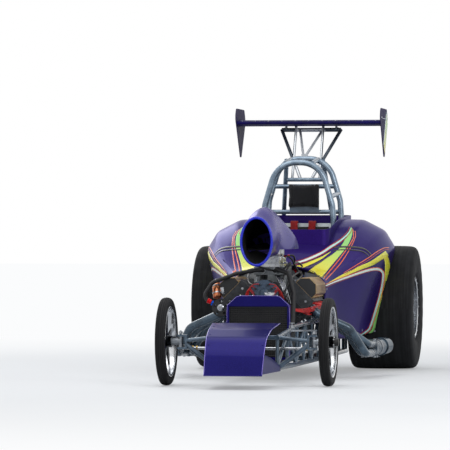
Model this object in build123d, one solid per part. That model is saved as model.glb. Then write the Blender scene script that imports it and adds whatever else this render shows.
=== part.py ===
from build123d import *
import os
from math import atan2, cos, degrees, radians, sin, sqrt

os.makedirs("parts", exist_ok=True)

# A front engined altered drag car at full size, in millimetres.
# X is across the car, Y runs back from the front axle line, Z is up from the ground.

# Layout
wheelbase = 3000
front_track = 1036
rear_track = 1100
kingpin_span = 854
slide_gap = 0.3
pin_gap = 0.08

# Front wheels
front_tyre_od = 559
front_tyre_width = 66
front_tyre_wall = 8
front_rim_flange = 446
front_rim_width = 54
front_rim_wall = 5
front_spokes = 5
front_spoke_root = 46
front_spoke_tip = 30
front_spoke_thickness = 12
front_hub_diameter = 74
front_cap_diameter = 46
front_hub_length = 66

# Rear wheels
rear_tyre_od = 870
rear_tyre_width = 470
rear_tread_width = 430
rear_tyre_wall = 14
rear_rim_flange = 438
rear_rim_width = 412
rear_rim_wall = 6
rear_disc_inset = 78
rear_disc_thickness = 12
rear_windows = 5
rear_window_diameter = 62
rear_hub_diameter = 170
rim_lip = 14
bead_seat_step = 8
rear_stud_circle = 127
rear_stud_diameter = 14
rear_studs = 5

# Steering
spindle_diameter = 26
kingpin_diameter = 16
knuckle_barrel = 36
yoke_opening = 68
yoke_plate = 12
yoke_depth = 42
yoke_reach = 42
tie_arm = 110
tie_rod_diameter = 19
steer_pin_diameter = 12
eye_width = 21
eye_wall = 6
drag_link_x = 285
link_eye_play = 6.5
steer_plate = 10
drag_link_diameter = 19
cross_shaft_y = 1950
cross_shaft_z = 520
cross_shaft_diameter = 24
cross_tube_diameter = 40
steering_box_width = 110
steering_box_depth = 130
steering_box_height = 120
wheel_centre_y = 2352
wheel_centre_z = 874
steering_column_diameter = 22
column_tube_diameter = 34
steering_wheel_width = 270
steering_wheel_height = 200
steering_grip = 24

# Frame
lower_rail = 32
upper_rail = 32
brace_tube = 22
nose_rail = 24
cage_tube = 41
lower_rail_z = 116
front_rail_x = 205
axle_tube = 26
axle_strut = 31
axle_z = 278
axle_tube_z = 286

# Engine, with cylinder banks at 45 degrees each side of upright
crank_z = 349
engine_front = 905
block_length = 530
block_wall_x = 160
bank_angle = 45
bank_width = 178
deck_height = 249
head_height = 90
head_width = 196
head_length = 505
head_start = 925
cover_height = 84
cover_width = 146
cover_length = 500
bore_spacing = 123
first_port = 992
port_height = 40
primary_diameter = 54
collector_diameter = 108
collector_wall = 3
outlet_length = 100
outlet_bead = 122
outlet_bead_width = 12
sump_width = 250
sump_bottom = 112
sump_length = 470
valley_top = 640
plenum_width = 210
plenum_length = 340
plenum_bottom = 690
carb_base = 742
scoop_base = 859
magneto_diameter = 168
magneto_length = 90
magneto_z = 575
pulley_diameter = 165
pulley_width = 30
oil_pump_x = 295
oil_pump_z = 476
oil_pump_diameter = 94
oil_pulley_diameter = 112
bellhousing_length = 165
gearbox_length = 480
gearbox_width = 220

# Air scoop
scoop_front = 405
scoop_mouth_width = 206
scoop_mouth_height = 312
scoop_mouth_z = 912
scoop_wall = 5
scoop_rear = 1262
scoop_base_width = 320
scoop_step_y = 705

# Radiator
radiator_y = 487
radiator_depth = 62
radiator_width = 408
radiator_shoulder_z = 497
radiator_top_z = 561
radiator_top_width = 268
radiator_bottom_z = 150
radiator_border = 14

# Nose cover
nose_sheet = 4
nose_front = -624
nose_rear = -22
nose_front_width = 366
nose_rear_width = 432

# Body
skin = 6
body_front = 1450
firewall_y = 1540
firewall_plate = 3
cowl_front = 2100
cowl_rear = 2960
cowl_front_width = 524
cowl_rear_width = 644
cowl_front_z = 984
cowl_side_z = 1066
cowl_corner = 55
floor_sheet = 3
arch_clearance = 22
arch_side_gap = 12
seat_width = 400

# Wing
wing_span = 1030
wing_thickness = 44
wing_front = 2995
wing_z = 1740
end_plate = 5
wing_bar_y = 3185
wing_bar_z = 1698
wing_bar_half = 213
wing_bar_diameter = 30
wing_strut = 19
chute_rear = 3620

# Sizes that follow
half_kingpin = kingpin_span / 2
front_x = front_track / 2
rear_x = rear_track / 2
front_z = front_tyre_od / 2
rear_z = rear_tyre_od / 2
tyre_inner_x = rear_x - rear_tyre_width / 2
origin_y = (nose_front + chute_rear) / 2
placed = Location((0, -origin_y, 0))


def bar(diameter, *points, bend=60):
    """Round bar through the given points, turned on one bend radius."""
    if len(points) == 2:
        path = Line(*points)
    else:
        path = FilletPolyline(*points, radius=bend)
    start = Plane(origin=path @ 0, z_dir=path % 0)
    return sweep(start * Circle(diameter / 2), path)


def box(x0, x1, y0, y1, z0, z1):
    """Block between two corners."""
    centre = Location(((x0 + x1) / 2, (y0 + y1) / 2, (z0 + z1) / 2))
    return centre * Box(abs(x1 - x0), abs(y1 - y0), abs(z1 - z0))


def rod(diameter, start, direction, length):
    """Straight cylinder from a start point."""
    return extrude(Plane(origin=start, z_dir=direction) * Circle(diameter / 2), length)


def fused(*pieces):
    """One body from pieces that meet."""
    whole = pieces[0]
    for piece in pieces[1:]:
        whole = whole + piece
    return whole


def mirrored(piece):
    return mirror(piece, about=Plane.YZ)


def pair(piece):
    """The piece and its mirror image across the car."""
    return [piece, mirrored(piece)]


def turned(points, centre):
    """Solid of revolution about X from a closed outline of (x, radius) points."""
    outline = make_face(Polyline(*points, close=True))
    return Location(centre) * revolve(outline, Axis.X)


def across(points, x0, x1):
    """Prism across the car from a closed outline of (y, z) points."""
    outline = make_face(Polyline(*points, close=True))
    return extrude(Plane(origin=(x0, 0, 0), x_dir=(0, 1, 0), z_dir=(1, 0, 0)) * outline, x1 - x0)


def along(points, y0, y1):
    """Prism along the car from a closed outline of (x, z) points."""
    outline = make_face(Polyline(*points, close=True))
    front = Plane(origin=(0, y0, 0), x_dir=(1, 0, 0), z_dir=(0, -1, 0))
    return extrude(front * outline, y0 - y1)


def save(name, *pieces):
    """Write the pieces of one node, moved to the car's reference point."""
    solids = []
    for piece in pieces:
        solids += piece.solids()
    for solid in solids:
        if not solid.is_valid:
            print("not valid", name)
    moved = [placed * solid for solid in solids]
    whole = moved[0] if len(moved) == 1 else Compound(children=moved)
    export_step(whole, "parts/" + name + ".step")
    print(name, len(solids), round(sum(s.volume for s in solids) / 1e6, 3))


# Front wheels, made for the car's left and mirrored
def front_tyre():
    seat = front_rim_flange / 2 - bead_seat_step
    half = front_tyre_width / 2
    bead = front_rim_width / 2 - front_rim_wall
    crown = front_tyre_od / 2
    wall = front_tyre_wall
    points = [
        (-bead, seat), (-bead, front_rim_flange / 2 + 2), (-half, seat + 30),
        (-half, crown - 22), (-half + 14, crown - 4), (0, crown),
        (half - 14, crown - 4), (half, crown - 22), (half, seat + 30),
        (bead, front_rim_flange / 2 + 2), (bead, seat), (bead - 8, seat),
        (bead - 8, front_rim_flange / 2 + 8), (half - wall, seat + 34),
        (half - wall, crown - 24), (half - 16, crown - wall), (-half + 16, crown - wall),
        (-half + wall, crown - 24), (-half + wall, seat + 34),
        (-bead + 8, front_rim_flange / 2 + 8), (-bead + 8, seat),
    ]
    return turned(points, (front_x, 0, front_z))


def front_rim():
    flange = front_rim_flange / 2
    seat = flange - bead_seat_step
    inner = seat - front_rim_wall
    half = front_rim_width / 2
    bead = half - front_rim_wall
    barrel = turned([
        (-half, inner), (-half, flange), (-bead, flange), (-bead, seat),
        (bead, seat), (bead, flange), (half, flange), (half, inner),
    ], (0, 0, 0))
    hub_start = -front_hub_length / 2
    hub = rod(front_hub_diameter, (hub_start, 0, 0), (1, 0, 0), front_hub_length)
    nose = rod(front_cap_diameter, (hub_start, 0, 0), (1, 0, 0), front_hub_length + 30)
    wheel = fused(barrel, hub, nose)
    for i in range(front_spokes):
        root = front_hub_diameter / 2 - 4
        spoke = across([
            (-front_spoke_root / 2, root), (front_spoke_root / 2, root),
            (front_spoke_tip / 2, inner + 2), (-front_spoke_tip / 2, inner + 2),
        ], -front_spoke_thickness / 2, front_spoke_thickness / 2)
        wheel = wheel + Rot(360 / front_spokes * i, 0, 0) * spoke
    bore = spindle_diameter + 2 * pin_gap
    wheel = wheel - rod(bore, (hub_start - 1, 0, 0), (1, 0, 0), front_hub_length + 11)
    return Location((front_x, 0, front_z)) * wheel


def rear_tyre():
    seat = rear_rim_flange / 2 - bead_seat_step
    bead = rear_rim_width / 2 - rear_rim_wall
    half = rear_tyre_width / 2
    tread = rear_tread_width / 2
    crown = rear_tyre_od / 2
    wall = rear_tyre_wall
    points = [
        (-bead, seat), (-bead, rear_rim_flange / 2 + 2), (-half + 8, seat + 36),
        (-half, crown - 130), (-half + 4, crown - 50), (-tread, crown - 12),
        (-tread + 18, crown - 2), (0, crown), (tread - 18, crown - 2),
        (tread, crown - 12), (half - 4, crown - 50), (half, crown - 130),
        (half - 8, seat + 36), (bead, rear_rim_flange / 2 + 2), (bead, seat),
        (bead - 14, seat), (bead - 14, rear_rim_flange / 2 + 12), (half - 8 - wall, seat + 44),
        (half - wall, crown - 130), (half - 4 - wall, crown - 56), (tread - 8, crown - wall - 6),
        (0, crown - wall), (-tread + 8, crown - wall - 6), (-half + 4 + wall, crown - 56),
        (-half + wall, crown - 130), (-half + 8 + wall, seat + 44),
        (-bead + 14, rear_rim_flange / 2 + 12), (-bead + 14, seat),
    ]
    return turned(points, (rear_x, wheelbase, rear_z))


def rear_rim():
    flange = rear_rim_flange / 2
    seat = flange - bead_seat_step
    inner = seat - rear_rim_wall
    half = rear_rim_width / 2
    bead = half - rear_rim_wall
    disc = -half + rear_disc_inset
    barrel = turned([
        (-half, inner), (-half, flange), (-bead, flange), (-bead, seat), (bead, seat),
        (bead, flange), (half, flange), (half, inner), (bead - 20, inner),
        (disc + 70, inner - rim_lip), (disc + 40, inner - 2 * rim_lip),
        (disc - 20, inner - 2 * rim_lip), (disc - 50, inner),
    ], (0, 0, 0))
    plate = rod(2 * (inner - rim_lip), (disc, 0, 0), (1, 0, 0), rear_disc_thickness)
    hub = rod(rear_hub_diameter, (disc, 0, 0), (1, 0, 0), rear_disc_thickness + 10)
    wheel = fused(barrel, plate, hub)
    window_circle = (rear_hub_diameter + 2 * (inner - 2 * rim_lip)) / 4
    for i in range(rear_windows):
        angle = 360 / rear_windows * (i + 0.5)
        window = rod(rear_window_diameter, (disc - 1, 0, window_circle), (1, 0, 0), 40)
        wheel = wheel - Rot(angle, 0, 0) * window
    for i in range(rear_studs):
        hole = rod(rear_stud_diameter, (disc - 1, 0, rear_stud_circle / 2), (1, 0, 0), 60)
        wheel = wheel - Rot(360 / rear_studs * i, 0, 0) * hole
    return Location((rear_x, wheelbase, rear_z)) * wheel


rear_disc_x = rear_x - rear_rim_width / 2 + rear_disc_inset
shaft_diameter = 40
shaft_flange = 150
shaft_flange_plate = 12
disc_rotor_diameter = 300
disc_rotor_plate = 10
disc_rotor_x = 268
housing_tube_diameter = 76
housing_end_x = 246
housing_flange = 110
housing_flange_plate = 12
axle_bay = 240
axle_plate = 10
axle_plate_x = 235

left_front_tyre = front_tyre()
left_front_rim = front_rim()
left_rear_tyre = rear_tyre()
left_rear_rim = rear_rim()
save("front_tyre_left", left_front_tyre)
save("front_tyre_right", mirrored(left_front_tyre))
save("front_rim_left", left_front_rim)
save("front_rim_right", mirrored(left_front_rim))
save("rear_tyre_left", left_rear_tyre)
save("rear_tyre_right", mirrored(left_rear_tyre))
save("rear_rim_left", left_rear_rim)
save("rear_rim_right", mirrored(left_rear_rim))

# Rear axle: shaft with wheel flanges and brake discs inside a tubular housing
shaft_end = rear_disc_x
shaft = rod(shaft_diameter, (-shaft_end, wheelbase, rear_z), (1, 0, 0), 2 * shaft_end)
for side in (-1, 1):
    flange_start = (side * shaft_end, wheelbase, rear_z)
    shaft = shaft + rod(shaft_flange, flange_start, (-side, 0, 0), shaft_flange_plate)
    rotor_start = (side * (disc_rotor_x + disc_rotor_plate / 2), wheelbase, rear_z)
    shaft = shaft + rod(disc_rotor_diameter, rotor_start, (-side, 0, 0), disc_rotor_plate)
for i in range(rear_studs):
    angle = radians(360 / rear_studs * i)
    y = wheelbase + rear_stud_circle / 2 * sin(angle)
    z = rear_z + rear_stud_circle / 2 * cos(angle)
    for side in (-1, 1):
        stud = rod(rear_stud_diameter, (side * (shaft_end - 1), y, z), (side, 0, 0), 46)
        shaft = shaft + stud
save("rear_axle_shaft", shaft)

housing_bulge = 250
housing_depth = 150
housing = rod(
    housing_tube_diameter, (-housing_end_x, wheelbase, rear_z), (1, 0, 0), 2 * housing_end_x
)
housing = housing + rod(
    housing_bulge, (-housing_depth / 2, wheelbase, rear_z), (1, 0, 0), housing_depth
)
housing = housing + rod(130, (0, wheelbase - 80, rear_z), (0, -1, 0), 120)
for side in (-1, 1):
    flange_x = side * (axle_plate_x - axle_plate / 2 - slide_gap)
    housing = housing + rod(
        housing_flange, (flange_x, wheelbase, rear_z), (-side, 0, 0), housing_flange_plate
    )
housing = housing - rod(
    shaft_diameter + 2 * pin_gap, (-400, wheelbase, rear_z), (1, 0, 0), 800
)
save("rear_axle_housing", housing)

# Brake calipers straddle the rotors ahead of the axle, on the frame's axle plates
caliper_in = disc_rotor_x - 20
caliper_out = disc_rotor_x + 22
caliper_front = wheelbase - disc_rotor_diameter / 2 - 24
caliper_slot = disc_rotor_plate + 6
caliper = box(caliper_in, caliper_out, caliper_front, caliper_front + 70, rear_z - 58, rear_z + 58)
caliper = caliper - rod(
    disc_rotor_diameter + 10, (disc_rotor_x - caliper_slot / 2, wheelbase, rear_z), (1, 0, 0),
    caliper_slot,
)
caliper_leg = box(
    axle_plate_x + axle_plate / 2, caliper_in + 6, wheelbase - axle_bay / 2 + 13,
    wheelbase - axle_bay / 2 + 60, rear_z - 26, rear_z + 26,
)
caliper_leg = caliper_leg + box(
    caliper_in, caliper_in + 6, caliper_front + 60, wheelbase - axle_bay / 2 + 60,
    rear_z - 26, rear_z + 26,
)
save("brake_calipers", *pair(fused(caliper, caliper_leg)))

# Front axle: cross tube ends, struts and yokes with the kingpins
kingpin_low = axle_z - yoke_opening / 2 - yoke_plate
kingpin_high = axle_z + yoke_opening / 2 + yoke_plate
yoke_back = half_kingpin - yoke_reach
yoke = box(
    yoke_back, half_kingpin + 18, -yoke_depth / 2, yoke_depth / 2, kingpin_low, kingpin_high
)
yoke = yoke - box(
    yoke_back + 12, half_kingpin + 30, -yoke_depth, yoke_depth,
    kingpin_low + yoke_plate, kingpin_high - yoke_plate,
)
kingpin = rod(
    kingpin_diameter, (half_kingpin, 0, kingpin_low - 6), (0, 0, 1), kingpin_high - kingpin_low + 12
)
axle_arm = bar(axle_tube, (front_rail_x - 12, 0, axle_tube_z + 22), (yoke_back + 4, 0, axle_tube_z))
axle_leg = bar(axle_strut, (front_rail_x - 8, 0, lower_rail_z), (yoke_back + 4, 0, axle_z - 20))
axle_side = fused(yoke, kingpin, axle_arm, axle_leg)

# Knuckles turn on the kingpins and carry the spindles
arm_bottom = axle_z - yoke_opening / 2 + slide_gap
barrel_top = axle_z + yoke_opening / 2 - slide_gap
drag_arm = half_kingpin - drag_link_x
arm_top_z = kingpin_high + 22
pin_drop = 34


def knuckle():
    barrel = rod(
        knuckle_barrel, (half_kingpin, 0, arm_bottom), (0, 0, 1), barrel_top - arm_bottom
    )
    spindle_end = front_x + front_hub_length / 2 + 6
    spindle = rod(
        spindle_diameter, (half_kingpin, 0, front_z), (1, 0, 0), spindle_end - half_kingpin
    )
    collar_end = front_x - front_hub_length / 2 - slide_gap
    collar = rod(44, (half_kingpin, 0, front_z), (1, 0, 0), collar_end - half_kingpin)
    arm = box(
        half_kingpin - 12, half_kingpin + 12, 0, tie_arm, arm_bottom, arm_bottom + steer_plate
    )
    arm_end = rod(30, (half_kingpin, tie_arm, arm_bottom), (0, 0, 1), steer_plate)
    pin = rod(
        steer_pin_diameter, (half_kingpin, tie_arm, arm_bottom + 1), (0, 0, -1), pin_drop
    )
    body = fused(barrel, spindle, collar, arm, arm_end, pin)
    hole = kingpin_diameter + 2 * pin_gap
    return body - rod(hole, (half_kingpin, 0, arm_bottom - 20), (0, 0, 1), yoke_opening + 40)


def drag_lever():
    """Lever of the left knuckle that reaches over the yoke to the drag link."""
    riser_y = yoke_depth / 2 + 14
    riser = box(
        half_kingpin - 12, half_kingpin + 12, riser_y, riser_y + steer_plate,
        arm_bottom, arm_top_z + steer_plate,
    )
    outline = make_face(Polyline(
        (half_kingpin + 12, riser_y + steer_plate), (half_kingpin - 18, riser_y + steer_plate),
        (drag_link_x - 8, 14), (drag_link_x - 14, 0), (drag_link_x - 6, -14),
        (drag_link_x + 12, -14), (half_kingpin + 12, riser_y - 8), close=True,
    ))
    plate = Pos(0, 0, arm_top_z) * extrude(outline, steer_plate)
    stud = rod(
        steer_pin_diameter, (drag_link_x, 0, arm_top_z + 1), (0, 0, 1), steer_plate + 44
    )
    head = rod(36, (drag_link_x, 0, arm_top_z + steer_plate + 40), (0, 0, 1), 5)
    return fused(riser, plate, stud, head)


right_knuckle = mirrored(knuckle())
save("knuckle_left", fused(knuckle(), drag_lever()))
save("knuckle_right", right_knuckle)

# Tie rod between the knuckle arms
tie_rod_z = arm_bottom - slide_gap - eye_width / 2
eye_hole = steer_pin_diameter + 2 * pin_gap
eye_outer = steer_pin_diameter + 2 * eye_wall + 2
tie_rod = rod(tie_rod_diameter, (-half_kingpin, tie_arm, tie_rod_z), (1, 0, 0), kingpin_span)
for side in (-1, 1):
    eye_start = (side * half_kingpin, tie_arm, tie_rod_z - eye_width / 2)
    tie_rod = tie_rod + rod(eye_outer, eye_start, (0, 0, 1), eye_width)
for side in (-1, 1):
    hole_start = (side * half_kingpin, tie_arm, tie_rod_z - eye_width)
    tie_rod = tie_rod - rod(eye_hole, hole_start, (0, 0, 1), 2 * eye_width)
tie_rod = tie_rod & box(
    -half_kingpin - 40, half_kingpin + 40, tie_arm - 30, tie_arm + 30,
    tie_rod_z - tie_rod_diameter, arm_bottom - slide_gap,
)
save("tie_rod", tie_rod)

# Steering box with its cross tube, pitman arm and drag link
pitman_pin_z = cross_shaft_z - drag_arm
pitman_x = drag_link_x + eye_width / 2 + slide_gap
cross_end = pitman_x - slide_gap
steering_box = box(
    -steering_box_width / 2, steering_box_width / 2, cross_shaft_y - steering_box_depth / 2,
    cross_shaft_y + steering_box_depth / 2, cross_shaft_z - steering_box_height / 2,
    cross_shaft_z + steering_box_height / 2,
)
steering_box = fillet(steering_box.edges(), 8)
cross_tube = rod(
    cross_tube_diameter, (0, cross_shaft_y, cross_shaft_z), (1, 0, 0), cross_end
)
column_dir = Vector(0, wheel_centre_y - cross_shaft_y, wheel_centre_z - cross_shaft_z)
column_length = column_dir.length
column_unit = column_dir.normalized()
box_exit = Vector(0, cross_shaft_y, cross_shaft_z)
column_tube_end = 330
column_tube = rod(column_tube_diameter, box_exit, column_unit, column_tube_end)
steering_box = fused(steering_box, cross_tube, column_tube)
shaft_bore = cross_shaft_diameter + 2 * pin_gap
steering_box = steering_box - rod(
    shaft_bore, (60, cross_shaft_y, cross_shaft_z), (1, 0, 0), cross_end
)
column_start = 120
column_bore = steering_column_diameter + 2 * pin_gap
steering_box = steering_box - rod(
    column_bore, box_exit + column_unit * (column_start - slide_gap), column_unit, 400
)
save("steering_box", steering_box)

pitman_boss = cross_shaft_diameter + 20
pitman = rod(cross_shaft_diameter, (62, cross_shaft_y, cross_shaft_z), (1, 0, 0), pitman_x - 61)
pitman = pitman + rod(pitman_boss, (pitman_x, cross_shaft_y, cross_shaft_z), (1, 0, 0), steer_plate)
pitman = pitman + box(
    pitman_x, pitman_x + steer_plate, cross_shaft_y - 13, cross_shaft_y + 13,
    pitman_pin_z, cross_shaft_z,
)
pitman = pitman + rod(26, (pitman_x, cross_shaft_y, pitman_pin_z), (1, 0, 0), steer_plate)
pitman = pitman + rod(
    steer_pin_diameter, (pitman_x + 1, cross_shaft_y, pitman_pin_z), (-1, 0, 0), eye_width + 4
)
save("pitman_arm", pitman)

link_front_z = arm_top_z + steer_plate + 20
front_eye_bore = steer_pin_diameter + 2 * link_eye_play
front_eye_outer = front_eye_bore + 2 * eye_wall
link_start = (drag_link_x, front_eye_outer / 2 - 3, link_front_z)
link_end = (drag_link_x, cross_shaft_y - eye_outer / 2 + 4, pitman_pin_z)
drag_link = bar(drag_link_diameter, link_start, link_end)
drag_link = drag_link + rod(
    front_eye_outer, (drag_link_x, 0, link_front_z - eye_width / 2), (0, 0, 1), eye_width
)
drag_link = drag_link + rod(
    eye_outer, (drag_link_x - eye_width / 2, cross_shaft_y, pitman_pin_z), (1, 0, 0), eye_width
)
drag_link = drag_link - rod(
    front_eye_bore, (drag_link_x, 0, link_front_z - eye_width), (0, 0, 1), 2 * eye_width
)
drag_link = drag_link - rod(
    eye_hole, (drag_link_x - eye_width, cross_shaft_y, pitman_pin_z), (1, 0, 0), 2 * eye_width
)
save("drag_link", drag_link)

# Steering wheel with its column shaft
column_foot = box_exit + column_unit * column_start
hub_centre = Vector(0, wheel_centre_y, wheel_centre_z)
steering_wheel = rod(
    steering_column_diameter, column_foot, column_unit, column_length - column_start
)
wheel_plane = Plane(origin=hub_centre, x_dir=(1, 0, 0), z_dir=column_unit)
half_w = steering_wheel_width / 2 - steering_grip / 2
half_h = steering_wheel_height / 2 - steering_grip / 2
grip_path = wheel_plane * FilletPolyline(
    (half_w * 0.8, half_h), (half_w, 0), (half_w * 0.62, -half_h),
    (-half_w * 0.62, -half_h), (-half_w, 0), (-half_w * 0.8, half_h), close=True, radius=32,
)
grip_start = Plane(origin=grip_path @ 0, z_dir=grip_path % 0)
grip = sweep(grip_start * Circle(steering_grip / 2), grip_path)
spoke_plate = wheel_plane * Pos(0, 0, 0) * Box(2 * half_w, 34, 6)
wheel_hub = wheel_plane * Cylinder(32, 26)
steering_wheel = fused(steering_wheel, wheel_hub, spoke_plate, grip)
save("steering_wheel", steering_wheel)

# Side frames: each rail is bent through a few points, and upright and slanting braces join them
# Columns: y, x
lower_bends = [(-40, 191), (450, 224), (2000, 250), (2400, 250), (2880, 235), (3310, 235)]
# Columns: y, x, z
upper_bends = [
    (-40, 195, 306), (610, 238, 366), (2000, 250, 414), (2370, 250, 440),
    (2640, 242, 500), (2880, 235, 545), (3310, 235, 530),
]
brace_stations = [
    -20, 300, 610, 950, 1290, 1640, 2000, 2370, 2640,
    wheelbase - axle_bay / 2, wheelbase + axle_bay / 2, 3290,
]
rail_bend = 400
nose_rail_z = lower_rail_z - 4


def between(table, y, column):
    """Value of a column of a table at a station, taken straight between its rows."""
    for low, high in zip(table, table[1:]):
        if low[0] <= y <= high[0]:
            share = (y - low[0]) / (high[0] - low[0])
            return low[column] + share * (high[column] - low[column])
    return table[-1][column]


def lower_x(y):
    return between(lower_bends, y, 1)


def upper_x(y):
    return between(upper_bends, y, 1)


def upper_z(y):
    return between(upper_bends, y, 2)


def side_frame():
    low = bar(lower_rail, *[(x, y, lower_rail_z) for y, x in lower_bends], bend=rail_bend)
    high = bar(upper_rail, *[(x, y, z) for y, x, z in upper_bends], bend=rail_bend)
    pieces = [low, high]
    ends = [
        ((lower_x(y), y, lower_rail_z), (upper_x(y), y, upper_z(y))) for y in brace_stations
    ]
    for foot, head in ends:
        pieces.append(bar(brace_tube, foot, head))
    for i in range(len(ends) - 1):
        if brace_stations[i] < wheelbase < brace_stations[i + 1]:
            continue
        if i % 2 == 0:
            pieces.append(bar(brace_tube, ends[i][0], ends[i + 1][1]))
        else:
            pieces.append(bar(brace_tube, ends[i][1], ends[i + 1][0]))
    pieces.append(bar(nose_rail, (160, -560, nose_rail_z), (193, -20, nose_rail_z)))
    plate = box(
        axle_plate_x - axle_plate / 2, axle_plate_x + axle_plate / 2,
        wheelbase - axle_bay / 2, wheelbase + axle_bay / 2, rear_z - 62, rear_z + 62,
    )
    hole = rod(
        housing_tube_diameter + 2 * slide_gap, (axle_plate_x - 20, wheelbase, rear_z), (1, 0, 0), 40
    )
    return fused(*pieces) + (plate - hole)


left_side = side_frame()
save("side_frame_left", left_side)
save("side_frame_right", mirrored(left_side))

# Crossmembers between the side frames. Columns: y, diameter, 1 for upper or 0 for lower rail
cross_tubes = [
    (-20, 28, 0), (-20, 28, 1), (radiator_y + 30, 28, 0), (1640, 28, 0), (2000, 28, 0),
    (2370, 28, 0), (2640, 28, 0), (3290, 28, 0), (3290, 28, 1),
]
cross_pieces = []
for y, diameter, upper in cross_tubes:
    half = (upper_x(y) if upper else lower_x(y)) - 4
    z = upper_z(y) if upper else lower_rail_z
    cross_pieces.append(rod(diameter, (-half, y, z), (1, 0, 0), 2 * half))
box_bar_z = cross_shaft_z - steering_box_height / 2 - 14
half = upper_x(cross_shaft_y)
rail_z = upper_z(cross_shaft_y)
cross_pieces.append(bar(
    28, (-half, cross_shaft_y, rail_z), (12 - half, cross_shaft_y, box_bar_z),
    (half - 12, cross_shaft_y, box_bar_z), (half, cross_shaft_y, rail_z), bend=14,
))
frame_sides = [left_side, mirrored(left_side)]
front_axle = [side - left_side - frame_sides[1] for side in pair(axle_side)]
save("front_axle", *front_axle)
cross_pieces = [piece - frame_sides[0] - frame_sides[1] for piece in cross_pieces]
cross_pieces = [piece - front_axle[0] - front_axle[1] for piece in cross_pieces]
save("crossmembers", *cross_pieces)

# Roll cage. Columns: y, top half width, shoulder half width, shoulder z, top z
hoops = [
    (2480, 150, 237, 1157, 1453),
    (2810, 165, 252, 1190, 1484),
]
hoop_shoulder_bend = 180
hoop_side_bend = 105


def hoop(y, top_x, side_x, side_z, top_z):
    foot_x = upper_x(y)
    cage_foot_z = upper_z(y)
    path = FilletPolyline(
        (-foot_x, y, cage_foot_z), (-side_x - 14, y, side_z - 200), (-side_x, y, side_z),
        (-top_x, y, top_z), (top_x, y, top_z), (side_x, y, side_z),
        (side_x + 14, y, side_z - 200), (foot_x, y, cage_foot_z),
        radius=[hoop_side_bend] * 2 + [hoop_shoulder_bend] * 2 + [hoop_side_bend] * 2,
    )
    start = Plane(origin=path @ 0, z_dir=path % 0)
    return sweep(start * Circle(cage_tube / 2), path)


front_hoop = hoop(*hoops[0])
rear_hoop = hoop(*hoops[1])
brace_foot = (upper_x(3230), 3230, upper_z(3230))
brace_top = (128, hoops[1][0], hoops[1][4] - 4)
brace_share = 0.15
brace_bar_x = brace_top[0] + brace_share * (brace_foot[0] - brace_top[0])
brace_bar_y = brace_top[1] + brace_share * (brace_foot[1] - brace_top[1])
brace_bar_z = brace_top[2] + brace_share * (brace_foot[2] - brace_top[2])
cage_bar = 32
brace_bar = 28
rear_braces = pair(bar(cage_bar, brace_top, brace_foot))
# Bars between the hoops. Columns: x and z at the front hoop, x and z at the rear hoop
hoop_links = [
    (96, hoops[0][4] - 4, 96, hoops[1][4] - 4),
    (225, 1215, 240, 1240),
    (255, 880, 265, 900),
]
# Bars across the rear hoop. Columns: half length, z
hoop_bars = [(262, 700), (250, 1110), (228, 1290)]
straight_bars = []
for front_half, front_height, rear_half, rear_height in hoop_links:
    straight_bars += pair(bar(
        cage_bar, (front_half, hoops[0][0], front_height), (rear_half, hoops[1][0], rear_height)
    ))
for half, z in hoop_bars:
    straight_bars.append(bar(cage_bar, (-half, hoops[1][0], z), (half, hoops[1][0], z)))
straight_bars.append(bar(
    brace_bar, (-brace_bar_x, brace_bar_y, brace_bar_z), (brace_bar_x, brace_bar_y, brace_bar_z)
))


def longest(piece):
    """The largest solid that a cut leaves."""
    return max(piece.solids(), key=lambda solid: solid.volume)


save("cage_hoops", *[hoop_piece - frame_sides[0] - frame_sides[1] for hoop_piece in (front_hoop, rear_hoop)])
cage_bars = [longest(piece - front_hoop - rear_hoop - frame_sides[0] - frame_sides[1]) for piece in rear_braces]
for piece in straight_bars:
    cage_bars.append(longest(piece - front_hoop - rear_hoop - rear_braces[0] - rear_braces[1]))
save("cage_bars", *cage_bars)
roll_cage = fused(front_hoop, rear_hoop, *cage_bars)

# Engine
bank = radians(bank_angle)


def on_bank(u0, u1, v0, v1, y0, y1):
    """Block on the left bank: u across it, v out from the crank, y along the car."""
    block = box(u0, u1, y0, y1, v0, v1)
    return Pos(0, 0, crank_z) * (Rot(0, bank_angle, 0) * block)


def bank_point(u, v):
    return (u * cos(bank) + v * sin(bank), crank_z - u * sin(bank) + v * cos(bank))


engine_rear = engine_front + block_length
case = along([
    (-block_wall_x, crank_z - 75), (-block_wall_x, crank_z + 70), (-60, crank_z + 200),
    (60, crank_z + 200), (block_wall_x, crank_z + 70), (block_wall_x, crank_z - 75),
], engine_front, engine_rear)
half_bank = bank_width / 2
left_bank = on_bank(-half_bank, half_bank, 40, deck_height, engine_front + 12, engine_rear - 12)
sump = along([
    (-block_wall_x + 4, crank_z - 75), (block_wall_x - 4, crank_z - 75),
    (sump_width / 2, crank_z - 110), (sump_width / 2, sump_bottom),
    (-sump_width / 2, sump_bottom), (-sump_width / 2, crank_z - 110),
], engine_front + 20, engine_front + 20 + sump_length)
timing_depth = 34
timing_cover = box(-105, 105, engine_front - timing_depth, engine_front, crank_z - 95, magneto_z + 70)
timing_cover = fillet(timing_cover.edges().filter_by(Axis.Y), 40)
front_plate_half = upper_x(engine_front) - upper_rail / 2 - slide_gap
front_plate = box(-front_plate_half, front_plate_half, engine_front - 8, engine_front, 335, 410)
block = fused(case, left_bank, mirrored(left_bank), sump, timing_cover, front_plate)
save("engine_block", block)

head_rear = head_start + head_length
left_head = on_bank(
    -head_width / 2, head_width / 2, deck_height, deck_height + head_height, head_start, head_rear
)
port_v = deck_height + port_height
for i in range(4):
    port_x, port_z = bank_point(head_width / 2 - 2, port_v)
    left_head = left_head + rod(
        primary_diameter + 8, (port_x, first_port + bore_spacing * i, port_z), (1, 0, -1), 8
    )
save("cylinder_heads", *pair(left_head))

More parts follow.
